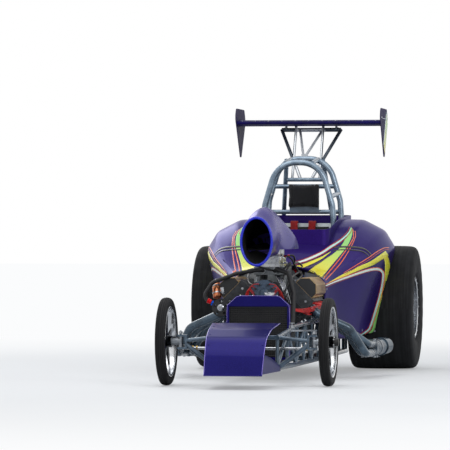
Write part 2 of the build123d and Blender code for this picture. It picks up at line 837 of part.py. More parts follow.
cover_start = head_start + (head_length - cover_length) / 2
cover_low = deck_height + head_height
half_cover = cover_width / 2
cover_profile = [
    (-half_cover, 0), (half_cover, 0), (half_cover, cover_height * 0.5),
    (half_cover * 0.4, cover_height), (-half_cover * 0.4, cover_height),
    (-half_cover, cover_height * 0.5),
]
cover = along([(u, v + cover_low) for u, v in cover_profile], cover_start, cover_start + cover_length)
cover = fillet(cover.edges().filter_by(Axis.Y).group_by(Axis.Z)[-1], 8)
left_cover = Pos(0, 0, crank_z) * (Rot(0, bank_angle, 0) * cover)
save("valve_covers", *pair(left_cover))

# Intake manifold with its runners, and two carburettors
intake_front = head_start + 40
intake_rear = head_rear - 40
valley_low = valley_top - 60
valley_half = valley_low - crank_z - half_bank * sqrt(2) - slide_gap
valley = along([
    (-valley_half, valley_low), (valley_half, valley_low), (64, valley_top), (-64, valley_top),
], intake_front, intake_rear)
plenum_front = (intake_front + intake_rear - plenum_length) / 2
plenum_rear = plenum_front + plenum_length
plenum = box(
    -plenum_width / 2, plenum_width / 2, plenum_front, plenum_rear, plenum_bottom, carb_base
)
plenum = fillet(plenum.edges().filter_by(Axis.Z), 18)
runner_bore = 44
intake_pieces = [valley, plenum]
for i in range(4):
    y_low = first_port + bore_spacing * i
    y_high = plenum_front + plenum_length * (i + 0.5) / 4
    for side in (-1, 1):
        intake_pieces.append(bar(
            runner_bore, (side * 84, y_low, valley_top - 34),
            (side * (plenum_width / 2 - 30), y_high, plenum_bottom + 8),
        ))
intake = fused(*intake_pieces)
save("intake_manifold", intake)

carb_width = 150
carb_length = 150
carb_pieces = []
for i in range(2):
    y0 = plenum_front + plenum_length * (i + 0.5) / 2 - carb_length / 2
    base = box(-carb_width / 2 + 6, carb_width / 2 - 6, y0, y0 + carb_length, carb_base, carb_base + 22)
    body = box(
        -carb_width / 2 + 18, carb_width / 2 - 18, y0 + 26, y0 + carb_length - 26,
        carb_base + 22, scoop_base - 30,
    )
    bowls = box(
        -carb_width / 2 + 10, carb_width / 2 - 10, y0 - 6, y0 + carb_length + 6,
        carb_base + 30, carb_base + 72,
    )
    horn = rod(128, (0, y0 + carb_length / 2, scoop_base - 32), (0, 0, 1), 32)
    carb_pieces.append(fused(base, body, bowls, horn))
save("carburettors", *carb_pieces)

# Air scoop over the carburettors: an oval mouth that grows into a wide flat base
mouth_half = scoop_mouth_width / 2
mouth_rise = scoop_mouth_height / 2
mouth_angles = [-90, -52, -16, 20, 56, 90]
mouth_ring = [
    (mouth_half * cos(radians(a)), scoop_mouth_z + mouth_rise * sin(radians(a))) for a in mouth_angles
]
half_base = scoop_base_width / 2
# Columns: y, then x and z of the bottom middle, base corner, flank, waist, shoulder and crown
scoop_rings = [
    (scoop_front, *mouth_ring),
    (530, (0, 782), (72, 812), (105, 886), (102, 984), (62, 1062), (0, 1092)),
    (680, (0, 830), (98, 838), (113, 900), (103, 1000), (62, 1094), (0, 1126)),
    (850, (0, scoop_base), (half_base - 26, scoop_base), (127, 906), (104, 1000), (60, 1096), (0, 1134)),
    (1010, (0, scoop_base), (half_base - 10, scoop_base), (143, 912), (119, 990), (72, 1066), (0, 1104)),
    (1150, (0, scoop_base), (half_base - 2, scoop_base), (156, 905), (140, 960), (86, 1014), (0, 1040)),
    (scoop_rear, (0, scoop_base), (half_base, scoop_base), (158, 892), (144, 926), (92, 956), (0, 970)),
]


def scoop_hull(inset):
    """Loft through the rings, drawn in towards each ring's middle by the inset."""
    faces = []
    for y, *half_ring in scoop_rings:
        middle = (half_ring[0][1] + half_ring[-1][1]) / 2
        widest = max(x for x, z in half_ring)
        rise = half_ring[-1][1] - middle
        ring = [
            (x * (1 - inset / widest), middle + (z - middle) * (1 - inset / rise)) for x, z in half_ring
        ]
        points = ring + [(-x, z) for x, z in reversed(ring[1:-1])]
        curve = Spline(*points, periodic=True)
        ring_plane = Plane(origin=(0, y, 0), x_dir=(1, 0, 0), z_dir=(0, -1, 0))
        faces.append(ring_plane * make_face(curve))
    return loft(faces)


scoop_below = box(-300, 300, scoop_step_y, scoop_rear + 50, 600, scoop_base)
scoop_inside = scoop_hull(scoop_wall) - box(
    -300, 300, scoop_step_y - scoop_wall, scoop_rear + 50, 600, scoop_base + scoop_wall
)
scoop_inside = scoop_inside - box(-300, 300, scoop_rear - scoop_wall, scoop_rear + 60, 600, 1300)
scoop = (scoop_hull(0) - scoop_below) - scoop_inside
for i in range(2):
    y0 = plenum_front + plenum_length * (i + 0.5) / 2
    scoop = scoop - rod(112, (0, y0, scoop_base - 1), (0, 0, 1), scoop_wall + 4)
save("air_scoop", scoop)

# Magneto, pulleys and oil pump on the front of the engine
timing_face = engine_front - timing_depth
magneto = rod(magneto_diameter, (0, timing_face - 30, magneto_z), (0, -1, 0), magneto_length - 30)
magneto = magneto + rod(84, (0, timing_face, magneto_z), (0, -1, 0), 32)
magneto = fillet(magneto.edges().group_by(Axis.Y)[0], 10)
save("magneto", magneto)

pulley_y = timing_face - 60
crank_pulley = rod(pulley_diameter, (0, pulley_y, crank_z), (0, 1, 0), pulley_width)
crank_nose = rod(56, (0, pulley_y - 14, crank_z), (0, 1, 0), 60 + 14)
pump_z = crank_z + 98
water_pump = rod(78, (0, timing_face - 34, pump_z), (0, 1, 0), 34)
water_pulley = rod(66, (0, pulley_y, pump_z), (0, 1, 0), 27)
save("front_pulleys", fused(crank_pulley, crank_nose), fused(water_pump, water_pulley))

pump_rear = engine_front + 14
pump_front = engine_front - 52
pump = rod(oil_pump_diameter, (-oil_pump_x, pump_front, oil_pump_z), (0, 1, 0), pump_rear - pump_front)
pump = pump + rod(
    oil_pulley_diameter, (-oil_pump_x, pump_front - 12 - 24, oil_pump_z), (0, 1, 0), 24
)
pump = pump + rod(34, (-oil_pump_x, pump_front - 14, oil_pump_z), (0, 1, 0), 20)
pump = pump + box(
    -oil_pump_x, -105, engine_front - 24, engine_front - 12, oil_pump_z - 24, oil_pump_z + 24
)
for i in range(5):
    hole = rod(20, (0, pump_front - 40, 42), (0, 1, 0), 30)
    pump = pump - Pos(-oil_pump_x, 0, oil_pump_z) * (Rot(0, 72 * i, 0) * hole)
save("oil_pump", pump)

# Headers. Each primary leaves its port, drops and runs back to the collector
collector_start = 1520
collector_end = 1840
collector_inner_x = 575
collector_outer_x = 632
collector_low_z = 166
collector_high_z = 223
# Columns: outboard x of the elbow, x and z at the collector
primaries = [
    (560, collector_outer_x, collector_low_z),
    (520, collector_outer_x, collector_high_z),
    (500, collector_inner_x, collector_low_z),
    (466, collector_inner_x, collector_high_z),
]
port_x, port_z = bank_point(head_width / 2 + 6, port_v)


def header_side():
    pieces = []
    for i, (elbow_x, end_x, end_z) in enumerate(primaries):
        y = first_port + bore_spacing * i
        path = FilletPolyline(
            (port_x, y, port_z), (port_x + 48, y, port_z - 48),
            (elbow_x - 30, y + 30, 340 - 8 * i), (end_x - 6, y + 112, end_z + 6),
            (end_x, collector_start, end_z),
            radius=[40, 62, 62],
        )
        start = Plane(origin=path @ 0, z_dir=path % 0)
        pieces.append(sweep(start * Circle(primary_diameter / 2), path))
    centre_x = (collector_inner_x + collector_outer_x) / 2
    centre_z = (collector_low_z + collector_high_z) / 2
    entry = Plane(origin=(centre_x, collector_start - 30, centre_z), z_dir=(0, 1, 0))
    throat = Plane(origin=(centre_x + 20, collector_start + 90, centre_z), z_dir=(0, 1, 0))
    merge = loft([
        entry * RectangleRounded(118, 118, 30), throat * RectangleRounded(100, 100, 48),
    ])
    tail_start = Vector(centre_x + 16, collector_start + 66, centre_z)
    tail_end = Vector(centre_x + 78, collector_end, centre_z + 6)
    tail = bar(collector_diameter, tail_start, tail_end)
    tail_way = (tail_end - tail_start).normalized()
    bead = rod(outlet_bead, tail_end - tail_way * outlet_length, -tail_way, outlet_bead_width)
    hollow = bar(
        collector_diameter - 2 * collector_wall, (centre_x + 30, collector_start + 120, centre_z + 1),
        (centre_x + 81, collector_end + 12, centre_z + 6),
    )
    pieces.append(merge)
    pieces.append(tail)
    pieces.append(bead)
    return fused(*pieces) - hollow


left_header = header_side()
save("header_left", left_header)
save("header_right", mirrored(left_header))

# Gearbox behind the engine
bell_front = engine_rear
mid_plate_half = upper_x(bell_front) - upper_rail / 2 - slide_gap
bell_rear = bell_front + bellhousing_length
bell = loft([
    Plane(origin=(0, bell_front, crank_z), z_dir=(0, 1, 0)) * Circle(196),
    Plane(origin=(0, bell_rear, crank_z - 20), z_dir=(0, 1, 0)) * Circle(112),
])
bell = bell & box(-190, 190, bell_front, bell_rear, 150, 520)
gearbox_rear = bell_rear + gearbox_length
case_box = box(
    -gearbox_width / 2, gearbox_width / 2, bell_rear - 2, gearbox_rear, crank_z - 150, crank_z + 80
)
case_box = fillet(case_box.edges().filter_by(Axis.Y), 40)
tail_start = Vector(0, gearbox_rear - 4, crank_z - 20)
tail_end = Vector(0, wheelbase - 200, rear_z)
torque_tube = bar(76, tail_start, tail_end)
rear_plate = box(-mid_plate_half, mid_plate_half, bell_front, bell_front + 8, 330, 450)
save("gearbox", fused(bell, case_box, torque_tube, rear_plate) - housing)

# Radiator
half_shoulder = radiator_width / 2
half_top = radiator_top_width / 2
shroud_profile = [
    (-half_shoulder, radiator_bottom_z), (half_shoulder, radiator_bottom_z),
    (half_shoulder, radiator_shoulder_z), (half_top, radiator_top_z),
    (-half_top, radiator_top_z), (-half_shoulder, radiator_shoulder_z),
]
shroud = along(shroud_profile, radiator_y, radiator_y + radiator_depth)
window = box(
    -half_shoulder + radiator_border, half_shoulder - radiator_border,
    radiator_y - 5, radiator_y + radiator_depth + 5,
    radiator_bottom_z + radiator_border, radiator_shoulder_z - 4,
)
shroud = shroud - window
radiator_foot = box(-150, 150, radiator_y + 20, radiator_y + 40, lower_rail_z + 14, radiator_bottom_z)
save("radiator_surround", fused(shroud, radiator_foot))
core_back = radiator_y + radiator_depth - 6
core = box(
    -half_shoulder + radiator_border, half_shoulder - radiator_border,
    radiator_y + 12, core_back,
    radiator_bottom_z + radiator_border, radiator_shoulder_z - 4,
)
save("radiator_core", core)

# Nose cover: a bent sheet that tapers forward, with lower side plates
nose_line = [
    (nose_front, 86), (-549, 224), (-469, 314), (-301, 365), (nose_rear, 396),
]
nose_path = FilletPolyline(*[(0, y, z) for y, z in nose_line], radius=[260, 150, 260])
nose_edge = Plane(origin=nose_path @ 0, z_dir=nose_path % 0, x_dir=(1, 0, 0))
nose_strip = sweep(nose_edge * Rectangle(nose_rear_width + 20, nose_sheet), nose_path)
half_nose_front = nose_front_width / 2
half_nose_rear = nose_rear_width / 2
nose_plan = make_face(Polyline(
    (-half_nose_front, nose_front), (half_nose_front, nose_front),
    (half_nose_rear, nose_rear + 10), (-half_nose_rear, nose_rear + 10), close=True,
))
nose = nose_strip & extrude(nose_plan, 700)
nose_side = across([
    (nose_front + 6, 96), (nose_rear - 6, 96), (nose_rear - 6, 128), (-330, 190), (-549, 216),
], -nose_sheet / 2, nose_sheet / 2)
nose_lean = degrees(atan2(half_nose_rear - half_nose_front, nose_rear - nose_front))
side_plate = Pos(half_nose_front - 2, nose_front, 0) * (
    Rot(0, 0, -nose_lean) * (Pos(0, -nose_front, 0) * nose_side)
)
nose_floor_z = nose_rail_z - nose_rail / 2 - nose_sheet
nose_floor = extrude(Pos(0, 0, nose_floor_z) * nose_plan, nose_sheet)
nose_floor = nose_floor & box(-300, 300, nose_front + 8, nose_rear, 0, 200)
save("nose_cover", fused(nose, side_plate, mirrored(side_plate), nose_floor))

# Fuel tank under the nose cover
fuel_tank = box(-130, 130, -390, -110, 128, 300)
fuel_tank = fillet(fuel_tank.edges(), 14)
tank_neck = rod(60, (0, -250, 298), (0, 0, 1), 34)
tank_low = nose_floor_z + nose_sheet
tank_feet = [box(s * 90 - 20, s * 90 + 20, -370, -130, tank_low, 130) for s in (-1, 1)]
save("fuel_tank", fused(fuel_tank, tank_neck, *tank_feet))

# Body shell. Columns: y, crown z, then x and z of the shoulder, brow, ridge and sill
body_stations = [
    (body_front, 764, 205, 722, 275, 682, 322, 632, 300, 246),
    (2060, 868, 380, 848, 470, 820, 530, 772, 430, 248),
    (2480, 1036, 430, 1028, 575, 958, 644, 846, 512, 262),
    (2990, 1035, 405, 1018, 535, 950, 598, 846, 490, 264),
    (3330, 915, 270, 898, 345, 860, 386, 790, 330, 266),
]
sill_bend = 30
ridge_bend = 70
brow_bend = 90
shoulder_bend = 100
crown_bend = 300


def body_section(row, inset):
    (
        y, crown, shoulder_x, shoulder_z, brow_x, brow_z, ridge_x, ridge_z, sill_x, sill_z,
    ) = row
    half = [
        (sill_x - inset, sill_z + inset), (ridge_x - inset, ridge_z),
        (brow_x - inset, brow_z - inset / 2), (shoulder_x - inset, shoulder_z - inset),
    ]
    points = half + [(0, crown - inset)] + [(-x, z) for x, z in reversed(half)]
    bends = [sill_bend, ridge_bend, brow_bend, shoulder_bend]
    ring = FilletPolyline(*points, close=True, radius=bends + [crown_bend] + bends[::-1])
    plane = Plane(origin=(0, y, 0), x_dir=(1, 0, 0), z_dir=(0, -1, 0))
    return plane * make_face(ring)


body_outer = loft([body_section(row, 0) for row in body_stations])
body_inner = loft([body_section(row, skin) for row in body_stations])


def arch(grow):
    """Space kept open round each rear tyre, outside the frame."""
    reach = rear_tyre_od / 2 + arch_clearance + grow
    inner_x = tyre_inner_x - arch_side_gap - grow
    left = rod(2 * reach, (inner_x, wheelbase, rear_z), (1, 0, 0), 600)
    return fused(*pair(left))


body_rear = body_stations[-1][0]
body_room = body_inner - box(-900, 900, body_rear - skin, body_rear + 10, 0, 1300)
shell = (body_outer - arch(0)) - (body_room - arch(skin))
arch_wall_x = tyre_inner_x - arch_side_gap - skin
underside = across([
    (body_front - 1, 0), (body_front - 1, 270), (2500, 286), (2500, 0),
], -arch_wall_x + 12, arch_wall_x - 12)
underside = underside + across([
    (2490, 0), (2490, 276), (2560, 286), (2990, 545), (body_rear + 10, 650), (body_rear + 10, 0),
], -arch_wall_x, arch_wall_x)
underside = underside + box(-900, 900, wheelbase - 330, body_rear + 10, 0, 560)
shell = shell - underside


def cowl_block(grow, low, high):
    """Upright block in the cowl's plan, which widens to the rear."""
    front_half = cowl_front_width / 2 + grow
    rear_half = cowl_rear_width / 2 + grow
    plan = make_face(FilletPolyline(
        (-front_half, cowl_front - grow), (front_half, cowl_front - grow),
        (rear_half, cowl_rear + grow), (-rear_half, cowl_rear + grow),
        close=True, radius=cowl_corner + grow,
    ))
    return Pos(0, 0, low) * extrude(plan, high - low)


shell = shell - cowl_block(slide_gap, 640, 1200)
for side in (-1, 1):
    shell = shell - bar(
        32 + 2 * 2, (side * brace_top[0], brace_top[1], brace_top[2]),
        (side * brace_foot[0], brace_foot[1], brace_foot[2]),
    )
save("body_shell", shell)

cowl_keep = across([
    (cowl_front - 10, 810), (2420, 910), (cowl_rear + 10, 910), (cowl_rear + 10, 1088),
    (2500, cowl_side_z), (cowl_front - 10, cowl_front_z),
], -cowl_rear_width, cowl_rear_width)
cowl = (cowl_block(0, 640, 1200) - cowl_block(-skin, 600, 1300)) & cowl_keep
save("cockpit_cowl", cowl)

firewall_low = 530
firewall = body_inner & box(-500, 500, firewall_y, firewall_y + firewall_plate, firewall_low, 900)
firewall_leg = box(
    upper_x(firewall_y) - 18, upper_x(firewall_y) + 16, firewall_y, firewall_y + firewall_plate,
    upper_z(firewall_y), firewall_low + 1,
)
firewall = fused(firewall, *pair(firewall_leg)) - frame_sides[0] - frame_sides[1]
save("firewall", firewall)

floor_low = lower_rail_z + 28 / 2
floor = box(-232, 232, 1660, 2740, floor_low, floor_low + floor_sheet)
save("floor_pan", floor - frame_sides[0] - frame_sides[1])

# Seat with its pad, and the head pad
seat_half = seat_width / 2
seat_sheet = 5
seat_base = across([
    (2330, 480), (2684, 462), (2772, 1030), (2766, 1030), (2680, 468), (2330, 486),
], -seat_half, seat_half)
seat_side = across([
    (2330, 480), (2684, 462), (2772, 1030), (2700, 1030), (2600, 640), (2330, 560),
], seat_half - seat_sheet, seat_half)
seat_legs = [
    box(s * 170 - 12, s * 170 + 12, y - 12, y + 12, floor_low + floor_sheet, z)
    for s in (-1, 1) for y, z in ((2390, 479), (2650, 466))
]
seat = fused(seat_base, seat_side, mirrored(seat_side), *seat_legs)
save("seat", seat)
pad_gap = 0.4
pad_half = seat_half - seat_sheet - pad_gap
seat_pad = across([
    (2336, 486 + pad_gap), (2680 - pad_gap, 468 + pad_gap), (2765 - pad_gap, 1020),
    (2728, 1020), (2648, 512), (2336, 526),
], -pad_half, pad_half)
save("seat_pad", seat_pad - seat)

head_plate = box(-105, 105, hoops[1][0] - 20, hoops[1][0] - 16, 1104, 1300)
head_pad = box(-120, 120, hoops[1][0] - 75, hoops[1][0] - 20 - pad_gap, 1130, 1315)
head_pad = fillet(head_pad.edges(), 14)
save("headrest", head_pad)
save("headrest_plate", head_plate)

# Wing with end plates
wing_half = wing_span / 2
wing_low = wing_z - 18
wing = across([
    (wing_front, wing_z - 2), (3060, wing_low), (3200, wing_low + 2), (3395, wing_z + 34),
    (3200, wing_low + wing_thickness - 1), (3080, wing_low + wing_thickness), (3010, wing_z + 16),
], -wing_half, wing_half)
wing = fillet(wing.edges().filter_by(Axis.X).group_by(Axis.Y)[0], 7)
save("wing", wing)
plate_shape = FilletPolyline(
    (3010, 1848), (3390, 1848), (3458, 1765), (3250, 1504), (3200, 1504), (2958, 1785),
    close=True, radius=[40, 40, 60, 20, 20, 50],
)
plate_plane = Plane(origin=(wing_half, 0, 0), x_dir=(0, 1, 0), z_dir=(1, 0, 0))
left_plate = extrude(plate_plane * make_face(plate_shape), end_plate)
save("wing_end_plates", *pair(left_plate))

strut_foot = (brace_bar_y, brace_bar_z)
struts = [rod(wing_bar_diameter, (-wing_bar_half, wing_bar_y, wing_bar_z), (1, 0, 0), 2 * wing_bar_half)]
for side in (-1, 1):
    struts.append(bar(
        24, (side * wing_bar_half, wing_bar_y, wing_bar_z), (side * 36, strut_foot[0], strut_foot[1])
    ))
    struts.append(bar(
        wing_strut, (side * 97, wing_bar_y - 90, wing_low + 3), (side * 97, strut_foot[0], strut_foot[1])
    ))
    struts.append(bar(
        wing_strut, (side * 82, wing_bar_y, wing_bar_z), (side * 10, hoops[1][0], hoops[1][4] + 26)
    ))
    struts.append(box(
        side * 180 - 6, side * 180 + 6, wing_bar_y - 24, wing_bar_y + 24, wing_bar_z, wing_low + 4
    ))
struts.append(box(-22, 22, hoops[1][0] - 12, hoops[1][0] + 12, hoops[1][4] + 12, hoops[1][4] + 34))
wing_support = fused(*struts) - wing - roll_cage
save("wing_struts", wing_support)

# Parachute pack on a tray behind the tail
chute_front = body_rear + 70
tray_z = 560
tray_sheet = 5
tray = box(-110, 110, 3270, chute_rear - 10, tray_z, tray_z + tray_sheet)
tail_z = upper_z(3290)
tray_legs = [box(s * 90 - 12, s * 90 + 12, 3276, 3304, tail_z, tray_z + 1) for s in (-1, 1)]
tray = fused(tray, *tray_legs) - rod(28, (-300, 3290, tail_z), (1, 0, 0), 600)
save("chute_tray", tray)
chute = box(-105, 105, chute_front, chute_rear, tray_z + tray_sheet + pad_gap, tray_z + 215)
chute = fillet(chute.edges(), 26)
save("parachute_pack", chute)

# Tow eye on the lower rear crossmember
tow_plate = 10
tow_hole = 26
tow_y = 3340
tow_eye = box(-tow_plate / 2, tow_plate / 2, 3290, tow_y, lower_rail_z - 24, lower_rail_z + 24)
tow_eye = tow_eye + rod(48, (-tow_plate / 2, tow_y, lower_rail_z), (1, 0, 0), tow_plate)
tow_eye = tow_eye - rod(tow_hole, (-tow_plate, tow_y, lower_rail_z), (1, 0, 0), 2 * tow_plate)
tow_eye = tow_eye - rod(28, (-100, 3290, lower_rail_z), (1, 0, 0), 200)
save("tow_eye", tow_eye)

# Coolant and oil hoses held at both ends
hose_upper = 30
hose_lower = 26
upper_hose = bar(
    hose_upper, (40, plenum_front, 716), (62, 925, 730), (150, 862, 700), (186, 830, 570),
    (188, 770, 380), (176, 650, 240), (150, 600, 225), (150, core_back, 225), bend=24,
)
lower_hose = bar(
    hose_lower, (-40, plenum_front, 716), (-56, 925, 724), (-200, 893, 700), (-360, 886, 640),
    (-425, 886, 540), (-oil_pump_x - 30, 886, oil_pump_z + 12), bend=40,
)
save("hoses", upper_hose - intake, lower_hose - pump - intake)
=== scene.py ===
from math import atan2, cos, pi, radians, sin

import bmesh
import bpy
from mathutils import Matrix, Vector
from mathutils.bvhtree import BVHTree


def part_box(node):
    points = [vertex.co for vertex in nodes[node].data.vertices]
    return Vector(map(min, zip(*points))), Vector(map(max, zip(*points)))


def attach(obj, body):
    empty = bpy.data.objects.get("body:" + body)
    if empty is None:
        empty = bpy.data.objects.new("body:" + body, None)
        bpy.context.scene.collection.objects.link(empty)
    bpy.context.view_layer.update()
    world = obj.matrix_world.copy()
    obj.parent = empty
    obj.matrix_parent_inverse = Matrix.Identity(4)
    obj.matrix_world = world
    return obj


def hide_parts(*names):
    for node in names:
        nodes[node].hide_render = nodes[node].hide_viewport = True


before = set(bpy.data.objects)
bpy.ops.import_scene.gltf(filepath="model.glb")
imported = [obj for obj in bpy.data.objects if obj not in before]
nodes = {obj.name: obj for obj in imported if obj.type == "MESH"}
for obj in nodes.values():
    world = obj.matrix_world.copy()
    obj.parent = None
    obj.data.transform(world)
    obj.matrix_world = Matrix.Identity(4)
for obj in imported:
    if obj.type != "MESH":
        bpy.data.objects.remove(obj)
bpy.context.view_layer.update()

# Sizes shared with the part's source, in millimetres: X to the car's left, Y back from the front axle, Z up.
MIDDLE_Y = 1498
FRONT_X, FRONT_Z = 518, 279.5
REAR_X, REAR_Y, REAR_Z = 550, 3000, 435
CRANK_Z = 349
BANK = radians(45)
FIRST_PORT, PORT_STEP = 992, 123
MAGNETO_Y, MAGNETO_Z = 781, 575
PULLEY_Y = 811
PUMP_X, PUMP_Z = -295, 476
TO_ROW = Matrix.Translation((0, -MIDDLE_Y / 1000, 0)) @ Matrix.Scale(0.001, 4)
# A wave texture at a scale of 1 / BAND_SCALE draws bands and gaps about a metre wide each
BAND_SCALE = 6.28


def row(x, y, z):
    """A place in car millimetres as a point of the frame in metres."""
    return TO_ROW @ Vector((x, y, z))


def srgb(code):
    """Linear colour from an sRGB hex value."""
    parts = [int(code[i:i + 2], 16) / 255 for i in (1, 3, 5)]
    return tuple(c / 12.92 if c <= 0.04045 else ((c + 0.055) / 1.055) ** 2.4 for c in parts) + (1.0,)


# Finishes

def add(tree, kind, settings=None, links=None):
    """One shader node with its settings and the sockets that feed it."""
    node = tree.nodes.new(kind)
    for key, value in (settings or {}).items():
        if key == "stops":
            elements = node.color_ramp.elements
            while len(elements) < len(value):
                elements.new(0.5)
            for element, (place, code) in zip(elements, value):
                element.position = place
                element.color = srgb(code)
        elif isinstance(key, int) or key in node.inputs:
            node.inputs[key].default_value = value
        else:
            setattr(node, key, value)
    for key, source in (links or {}).items():
        tree.links.new(source, node.inputs[key])
    return node


def finish(
    name, dark, pale, rough, mottle=40.0, grain=1.0, relief=0.0, uneven=0.06, stretch=(1, 1, 1), **shader,
):
    """Surface whose colour drifts between two tones over mottle mm, with a grain raised by relief mm."""
    material = bpy.data.materials.new(name)
    material.use_nodes = True
    tree = material.node_tree
    tree.nodes.clear()
    coords = add(tree, "ShaderNodeTexCoord")
    drawn = add(tree, "ShaderNodeMapping", {"Scale": stretch}, {"Vector": coords.outputs["Object"]})
    place = {"Vector": drawn.outputs["Vector"]}
    drift = add(tree, "ShaderNodeTexNoise", {"Scale": 1000 / mottle, "Detail": 4.0}, place)
    fine = add(tree, "ShaderNodeTexNoise", {"Scale": 1000 / grain, "Detail": 2.0}, place)
    tones = ((0.32, dark), (0.68, pale))
    colour = add(tree, "ShaderNodeValToRGB", {"stops": tones}, {"Fac": drift.outputs["Fac"]})
    polish = add(tree, "ShaderNodeMapRange", {
        "From Min": 0.3, "From Max": 0.7, "To Min": max(
            rough - uneven, 0.02,
        ), "To Max": min(rough + uneven, 1.0),
    }, {"Value": drift.outputs["Fac"]})
    body = add(tree, "ShaderNodeBsdfPrincipled", shader, {
        "Base Color": colour.outputs["Color"], "Roughness": polish.outputs["Result"],
    })
    if relief:
        bump = add(tree, "ShaderNodeBump", {"Distance": relief / 1000, "Strength": 1.0}, {
            "Height": fine.outputs["Fac"],
        })
        tree.links.new(bump.outputs["Normal"], body.inputs["Normal"])
    add(tree, "ShaderNodeOutputMaterial", links={"Surface": body.outputs["BSDF"]})
    return material


def parts_of(material):
    """The tree, the shader and the coordinates of a finish, to add to it."""
    tree = material.node_tree
    body = next(n for n in tree.nodes if n.type == "BSDF_PRINCIPLED")
    coords = next(n for n in tree.nodes if n.type == "TEX_COORD")
    return tree, body, coords


def colour_of(body):
    """The socket that feeds a shader's base colour."""
    return body.inputs["Base Color"].links[0].from_socket


def surface_of(tree):
    """The socket of a finish that takes its last shader."""
    return next(n for n in tree.nodes if n.type == "OUTPUT_MATERIAL").inputs["Surface"]


def flake_paint(name, deep, mid, bright, rough):
    """Candy paint over metal flake, drawn 3 mm coarse so that it shows, under a clear gloss coat; the flakes
    are painted glints of the bright tone, and the colour darkens to the deep tone towards grazing edges as
    painted shade.
    """
    material = finish(name, deep, mid, rough, mottle=420, grain=3, uneven=0.03, **{
        "Metallic": 0.3, "Specular IOR Level": 0.14, "Specular Tint": srgb("#8a70ea"),
        "Coat Weight": 0.1, "Coat Roughness": 0.035,
    })
    tree, body, coords = parts_of(material)
    # painted glints: random flakes lightened towards the bright tone
    flakes = add(tree, "ShaderNodeTexVoronoi", {"Scale": 1000 / 3}, {"Vector": coords.outputs["Object"]})
    flake_glint_share = add(tree, "ShaderNodeMapRange", {
        "From Min": 0.0, "From Max": 1.0, "To Min": 0.0, "To Max": 0.2,
    }, {"Value": flakes.outputs["Color"]})
    # painted shade: the colour turns to the deep tone towards grazing edges
    facing = add(tree, "ShaderNodeLayerWeight", {"Blend": 0.35})
    painted_flake_glints = add(tree, "ShaderNodeMix", {"data_type": "RGBA", 7: srgb(bright)}, {
        "Factor": flake_glint_share.outputs["Result"], 6: colour_of(body),
    })
    edge = add(tree, "ShaderNodeMix", {"data_type": "RGBA", 7: srgb(deep)}, {
        "Factor": facing.outputs["Facing"], 6: painted_flake_glints.outputs[2],
    })
    tree.links.new(edge.outputs[2], body.inputs["Base Color"])
    return material


# Metal flake violet: deep plum face on, electric violet as painted flake glints, darkening to deep plum
# towards grazing edges as painted shade
violet_paint = flake_paint("violet_flake_lacquer", "#21144c", "#301f68", "#5c33cc", 0.3)
# The same violet on the wing's end plates, satin from handling and without the clear coat
plate_paint = finish(
    "satin_violet_plate_enamel", "#1b143c", "#271d52", 0.55, mottle=160, grain=2, relief=0.02,
    **{"Specular IOR Level": 0.08},
)
# Blue-violet flake on the nose and radiator surround, a shade bluer than the body, with the same painted
# glints and painted edge shade
indigo_paint = flake_paint("indigo_flake_lacquer", "#131148", "#1c185a", "#3434ac", 0.3)
# Saturated blue enamel of the scoop's thick mouth rim
blue_enamel = finish(
    "blue_gloss_enamel", "#1622b4", "#2130d0", 0.3, mottle=60,
    **{"Specular IOR Level": 0.3, "Coat Weight": 0.3, "Coat Roughness": 0.04},
)
# Pale violet enamel of the beads along the folded edges
lilac_enamel = finish(
    "lilac_line_enamel", "#8672dc", "#9a88ea", 0.3, mottle=50, **{"Coat Weight": 0.8, "Coat Roughness": 0.06},
)


def stripe_enamel(name, low, high):
    """Brushed-on stripe enamel that fades along its own length, under the body's clear coat."""
    material = finish(name, low, high, 0.3, mottle=90, **{
        "Specular IOR Level": 0.3, "Coat Weight": 0.3, "Coat Roughness": 0.04,
    })
    tree, body, coords = parts_of(material)
    fade = add(tree, "ShaderNodeSeparateXYZ", links={"Vector": coords.outputs["UV"]})
    colour = add(
        tree, "ShaderNodeValToRGB", {"stops": ((0.15, low), (0.75, high))}, {"Fac": fade.outputs["X"]},
    )
    tree.links.new(colour.outputs["Color"], body.inputs["Base Color"])
    return material


stripe_paints = {
    # yellow that turns lime towards the tip, the widest and brightest band
    "lime": stripe_enamel("lime_stripe_enamel", "#e9de2a", "#93d873"),
    # clear yellow of the narrow inner bands
    "yellow": stripe_enamel("yellow_stripe_enamel", "#f0e025", "#e6e53a"),
    # white that cools to turquoise
    "white": stripe_enamel("white_stripe_enamel", "#e9f2e6", "#b8e4dc"),
    # orange pinstripe
    "orange": stripe_enamel("orange_stripe_enamel", "#e8531f", "#ea6a34"),
    # blood red outline of the white band
    "red": stripe_enamel("red_stripe_enamel", "#a01420", "#b42024"),
    # near black double line over the haunches: painted dark reflection along the fender's crease
    "black": stripe_enamel("crease_reflection_enamel", "#0b0b12", "#12121c"),
    # dark violet spear between the yellow bands
    "plum": stripe_enamel("plum_stripe_enamel", "#2c1a55", "#231447"),
}

# Front tyre rubber: dull black, slightly dusty
tyre_rubber = finish(
    "ribbed_tyre_rubber", "#101012", "#1b1b1d", 0.82, mottle=30, grain=1.2, relief=0.12,
    **{"Specular IOR Level": 0.3},
)


